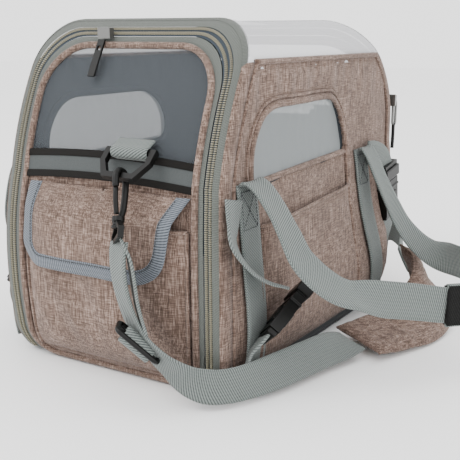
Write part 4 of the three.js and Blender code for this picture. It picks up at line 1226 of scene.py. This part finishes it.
HANDLES = (
    Handle("right", 1,
           ((115.6, -134, 174.4), (119, -133.8, 176.4), (126, -133, 173), (140, -133, 157), (154, -136, 138),
            (167, -137, 118), (189, -122, 95), (212, -97, 85), (232, -70, 78), (253, -44.4, 71)),
           ((115.6, 101, 174.4), (119, 101.4, 175.6), (125, 103, 168), (134, 107, 146), (146, 111, 120),
            (160, 110, 98), (180, 104, 82), (204, 92, 76), (230, 74, 76), (257, 52.6, 76)),
           ((253, -44.4, 70.8), (268, -24, 70), (275, 4, 72), (270, 34, 75), (257, 52.6, 76)),
           turning((0, 1, 0), (0, 1, 0), (0.1, 1, 0.2), (0.1, 1, 0.2), (-0.1, 0.2, 1), (-0.1, 0, 1)),
           turning((0, 1, 0), (0, 1, 0), (0.1, 1, 0.1), (0.2, 0.8, 0.3), (0, 0.2, 1), (-0.1, 0, 1)),
           turning((-0.1, 0, 1), (-0.1, 0, 1))),
    Handle("left", -1,
           ((115.6, -134, 174.4), (119, -133.8, 176), (128, -132, 168), (144, -125, 142), (162, -110, 108),
            (168, -88, 72), (168, -60, 46)),
           ((115.6, 101, 174.4), (119, 101, 176), (126, 101, 168), (138, 101, 142), (154, 102, 108),
            (161, 86, 72), (161, 60, 46)),
           ((168, -58, 45), (162, -34, 32), (162, 0, 27), (162, 34, 32), (161, 58, 45)),
           turning((0, 1, 0), (0, 1, 0), (0, 1, 0.1), (0, 0.8, 0.5)),
           turning((0, 1, 0), (0, 1, 0), (0, 1, -0.1), (0, 0.8, -0.5)),
           turning((0, 0.5, 0.8), (0, 0, 1), (0, -0.5, 0.8))),
)


@dataclass
class BuckleStraps:
    """The webbing above and below each side-release buckle."""

    place: str
    upper: Sequence[tuple[float, float, float]]
    lower: Sequence[tuple[float, float, float]]
    across: Across
    foot: tuple[float, float, float]
    head: tuple[float, float, float]
    facing: tuple[float, float, float]
    left_upper: Sequence[tuple[float, float, float]]

    def moulding(self, body: str, name: str, flip: Array, blocks: Sequence[tuple[float, ...]]) -> None:
        """Raised parts of a moulded half. Args: body; name; flip: mirrors them; blocks: for each, its place
        along the buckle in mm, then its width, length and height."""
        foot, head = np.array(self.foot) * flip, np.array(self.head) * flip
        along = (head - foot) / np.linalg.norm(head - foot)
        out = np.array(self.facing) * flip
        out = out - along * out.dot(along)
        out /= np.linalg.norm(out)
        wide = np.cross(along, out)
        parts = []
        for place, *size in blocks:
            centre = np.array([foot + along * place])
            ways = tuple(np.array([w]) for w in (wide, along, out))
            part = bricks("block", centre, ways, size, Finish.PLASTIC, 1.0)
            bevel = part.modifiers.new("edges", "BEVEL")
            bevel.width = 1.2 * MM
            bevel.segments = 2
            parts.append(part)
        for index, part in enumerate(parts):
            part.name = f"{name}_{index}"
            dress(part, body, "black_plastic")

    def build(self) -> None:
        """Makes both straps on both sides."""
        for side, label in SIDES:
            flip = np.array([side, 1, 1])
            turned = lambda t: self.across(t) * flip
            upper = self.upper if side > 0 else self.left_upper
            for part, route in (("upper", upper), ("lower", self.lower)):
                line = Polyline.smooth(np.array(route) * flip)
                ways = turned if part == "upper" else (lambda t: turned(1 - t))
                strap = ribbon(f"buckle_{part}_{self.place}_{label}", line, ways, Finish.WEBBING, 25, step=3)
                dress(strap, "root", "webbing")
            name = f"{self.place}_{label}"
            self.moulding("root", f"socket_{name}", flip,
                          ((-2, 32, 5, 8), (17, 20, 15, 13), (30, 36.5, 3, 12)))
            self.moulding(f"buckle_plug_{name}", f"plug_{name}", flip, ((46, 37, 12, 13.5),))


REAR_UPPER = ((117, 112, 168), (119, 130, 166), (121.5, 148, 158), (123, 158, 142))
BUCKLES = (
    BuckleStraps("front",
                 ((118.8, -161.2, 165.7), (120.0, -164.7, 149.4), (122.0, -168.0, 136.3),
                  (125.0, -162.5, 122.9), (129.0, -150.8, 108.6), (134.0, -136.9, 97.6),
                  (139.0, -124.1, 90.8)),
                 ((134.5, -135, 53), (130, -141, 46), (124, -144, 38), (121.5, -146, 26), (120.5, -147, 10)),
                 turning((0, 1, 0), (-0.3, 0.95, 0), (-0.55, 0.82, -0.1), (-0.6, 0.8, -0.2),
                         (-0.6, 0.75, -0.3)),
                 (135, -134, 52), (147, -88, 84), (0.75, 0.24, -0.61),
                 ((118.5, -136, 172), (120.5, -138, 155), (123, -136, 138), (128, -128, 122),
                  (136, -111, 108), (144, -97, 96), (147, -90, 87))),
    BuckleStraps("rear", REAR_UPPER,
                 ((123, 166, 95), (121.5, 167, 80), (118, 166, 60), (117, 165, 34)),
                 turning((0.1, 0.7, 0.7), (0.1, 1, 0.1)), (123, 166, 96), (123, 159, 140), (1, 0, 0),
                 REAR_UPPER),
)


# ---- plastic and metal --------------------------------------------------------------------------
@dataclass
class Hardware:
    """Rings, hooks, buckles and sliders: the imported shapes, with their edges rounded."""

    radius: float = 0.9

    def round(self, node: str, finish: Finish, radius: float) -> None:
        """Gives a node rounded edges and a finish. Args: node; finish; radius."""
        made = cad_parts[node]
        made.data.materials.clear()
        made.data.materials.append(finish.material())
        bevel = made.modifiers.new("edges", "BEVEL")
        bevel.width = radius * MM
        bevel.segments = 2
        bevel.limit_method = "ANGLE"

    def keeper(self, end: int, label: str) -> None:
        """The webbing folded round a ring's upper bar. Args: end: -1 front, 1 rear; label."""
        z = 197.0
        y = end * (float(end_y(z, end)) * end + 10)
        turn = np.radians(np.linspace(-90, 90, 12))
        loop = [(30, y + end * 4.4 * math.cos(a), z + 4.4 * math.sin(a)) for a in turn]
        foot = end * (abs(y) - 8.2)
        route = [(30, foot, z - 8)] + loop + [(30, foot, z + 9)]
        strap = ribbon(f"{label}_keeper_webbing", Polyline(route), turning((1, 0, 0)), Finish.WEBBING,
                       36, 2.0, 1.5)
        dress(strap, f"{label}_door", "webbing", f"{label}_ring_keeper")

    def hook(self, end: int, label: str) -> None:
        """A swept hook: a bow over the ring, a tapered shaft and a ribbed collar above the eye.
        Args: end: -1 front, 1 rear; label."""
        up = np.array([-0.213, -end * 0.408, 0.888])
        up /= np.linalg.norm(up)
        out = np.array([0.0, end, 0.0])
        out -= up * out.dot(up)
        out /= np.linalg.norm(out)
        y = float(end_y(197, end)) + end * (10 + 24 * math.sin(math.pi / 4))
        at = np.array([32, y, 195 - 24 * math.cos(math.pi / 4)])
        bow = arc((0, 1), 6.0, 0, 180, 14)
        flat = np.vstack([[[5.6, -7]], bow, [[-6.0, -12], [-5.0, -24], [-2.0, -33]]])
        line = Polyline(at + flat[:, :1] * out + flat[:, 1:] * up)
        parts = [tube("bow", line, 2.7, Finish.PLASTIC, sides=12, step=1.5)]
        leaf = np.array([[5.4, -7.5], [4.6, -18], [2.6, -29]])
        spring = Polyline(at + leaf[:, :1] * out + leaf[:, 1:] * up)
        gate = tube(f"{label}_gate", spring, 2.0, Finish.PLASTIC, sides=12)
        dress(gate, f"{label}_hook_gate", "black_plastic", f"{label}_hook_gate")
        for low, high, radius in ((-34.5, -30.5, 5.0), (-37.5, -35.2, 4.4), (-39.5, -38.0, 5.2)):
            stub = Polyline([at + low * up, at + (low + high) / 2 * up, at + high * up])
            parts.append(tube("collar", stub, radius, Finish.PLASTIC, sides=16, step=0.5))
        made = joined(f"{label}_hook_body", *parts)
        dress(made, f"{label}_snap_hook", "black_plastic", f"{label}_snap_hook")

    def glide(self) -> None:
        """The adjuster: a frame of three bars, edge on to the front, that the strap is laced through."""
        at = np.array([62.0, -211.0, 56.0])
        wide = np.array([0.63, 0.38, -0.67])
        wide /= np.linalg.norm(wide)
        tall = np.array([0.5, -0.83, 0.1])
        tall -= wide * tall.dot(wide)
        tall /= np.linalg.norm(tall)
        a, b = 20.0, 11.0
        ring = round_outline(a, -b, b, 4, 4).points
        frame_line = Polyline(at + ring[:, :1] * wide + ring[:, 1:] * tall)
        parts = [tube("frame", frame_line, 2.1, Finish.PLASTIC, loop=True, sides=10, step=1.5)]
        bar = Polyline([at - wide * a, at, at + wide * a])
        parts.append(tube("bar", bar, 1.9, Finish.PLASTIC, sides=10))
        dress(joined("glide_frame", *parts), "tri_glide", "black_plastic", "tri_glide")
        out = np.cross(wide, tall)
        if out[1] > 0:
            out = -out
        curl = np.array([[-14, 3], [-9, 5], [-4, 5], [0, 1], [1, -4], [5, -6], [9, -2], [9, 4], [5, 6.5],
                         [2, 5]])
        line = Polyline.smooth(at + curl[:, :1] * tall + curl[:, 1:] * out, 6)
        loop = ribbon("glide_curl", line, turning(wide), Finish.WEBBING, STRAP_WIDE - 2, 1.8, 1.2)
        dress(loop, "tri_glide", "webbing")

    def looped_pull(self) -> None:
        """The rear zip's slider, with a wire loop through it and a tab on the loop."""
        x, y, z = 110.0, float(end_y(210.0, 1)) + 9.5, 212.0
        at = np.array([[x - 2, y - 5.5, z + 4]])
        ways = (np.array([[1.0, 0, 0]]), np.array([[0, 0, 1.0]]), np.array([[0, 1.0, 0]]))
        slider = bricks("rear_slider_body", at, ways, (12, 13, 8), Finish.METAL, 0.8)
        dress(slider, "rear_zip_slider", "zip_metal", "rear_zip_slider")
        ring = round_outline(4.6, -24, 3, 4, 4).points
        wire = Polyline(np.stack([x + 0 * ring[:, 0], y + ring[:, 0], z + ring[:, 1]], -1))
        parts = [tube("loop", wire, 1.5, Finish.METAL, loop=True, sides=8, step=1.5)]
        tab = Polyline([(x, y - 1, z - 22), (x, y - 1, z - 36), (x, y - 2, z - 50)])
        parts.append(tube("tab", tab, 3.4, Finish.PLASTIC, sides=10, flat=0.6))
        dress(joined("rear_pull_loop", *parts), "rear_zip_pull", "black_plastic", "rear_zip_pull")

    def build(self) -> None:
        """Finishes every plastic and metal node."""
        self.glide()
        for end, label in ENDS:
            self.keeper(end, label)
            self.hook(end, label)
            for part in ("d_ring", "hook_eye"):
                self.round(f"{label}_{part}", Finish.PLASTIC, self.radius)
        self.round("front_zip_slider", Finish.METAL, 1.2)
        self.round("front_zip_pull", Finish.PLASTIC, 0.5)
        self.looped_pull()
        for _, label in ENDS:
            for _, side in SIDES:
                self.round(f"buckle_socket_{label}_{side}", Finish.PLASTIC, 1.6)
                self.round(f"buckle_plug_{label}_{side}", Finish.PLASTIC, 1.4)
        self.round("base_board", Finish.BOARD, 0.5)
        self.round("floor_mat", Finish.FLEECE, 4.0)


def main() -> None:
    """Builds the carrier."""
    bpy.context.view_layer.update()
    Studio().build()
    ShoulderStrap().build()
    ShoulderPad().build()
    window = SideWindow()
    for side, label in SIDES:
        Side(side, label, window).build()
    for end, label in ENDS:
        End(end, label).build()
    CargoPocket().build()
    Top().build()
    Base().build()
    for handle in HANDLES:
        handle.build()
    for straps in BUCKLES:
        straps.build()
    Hardware().build()


if __name__ == "__main__":
    main()
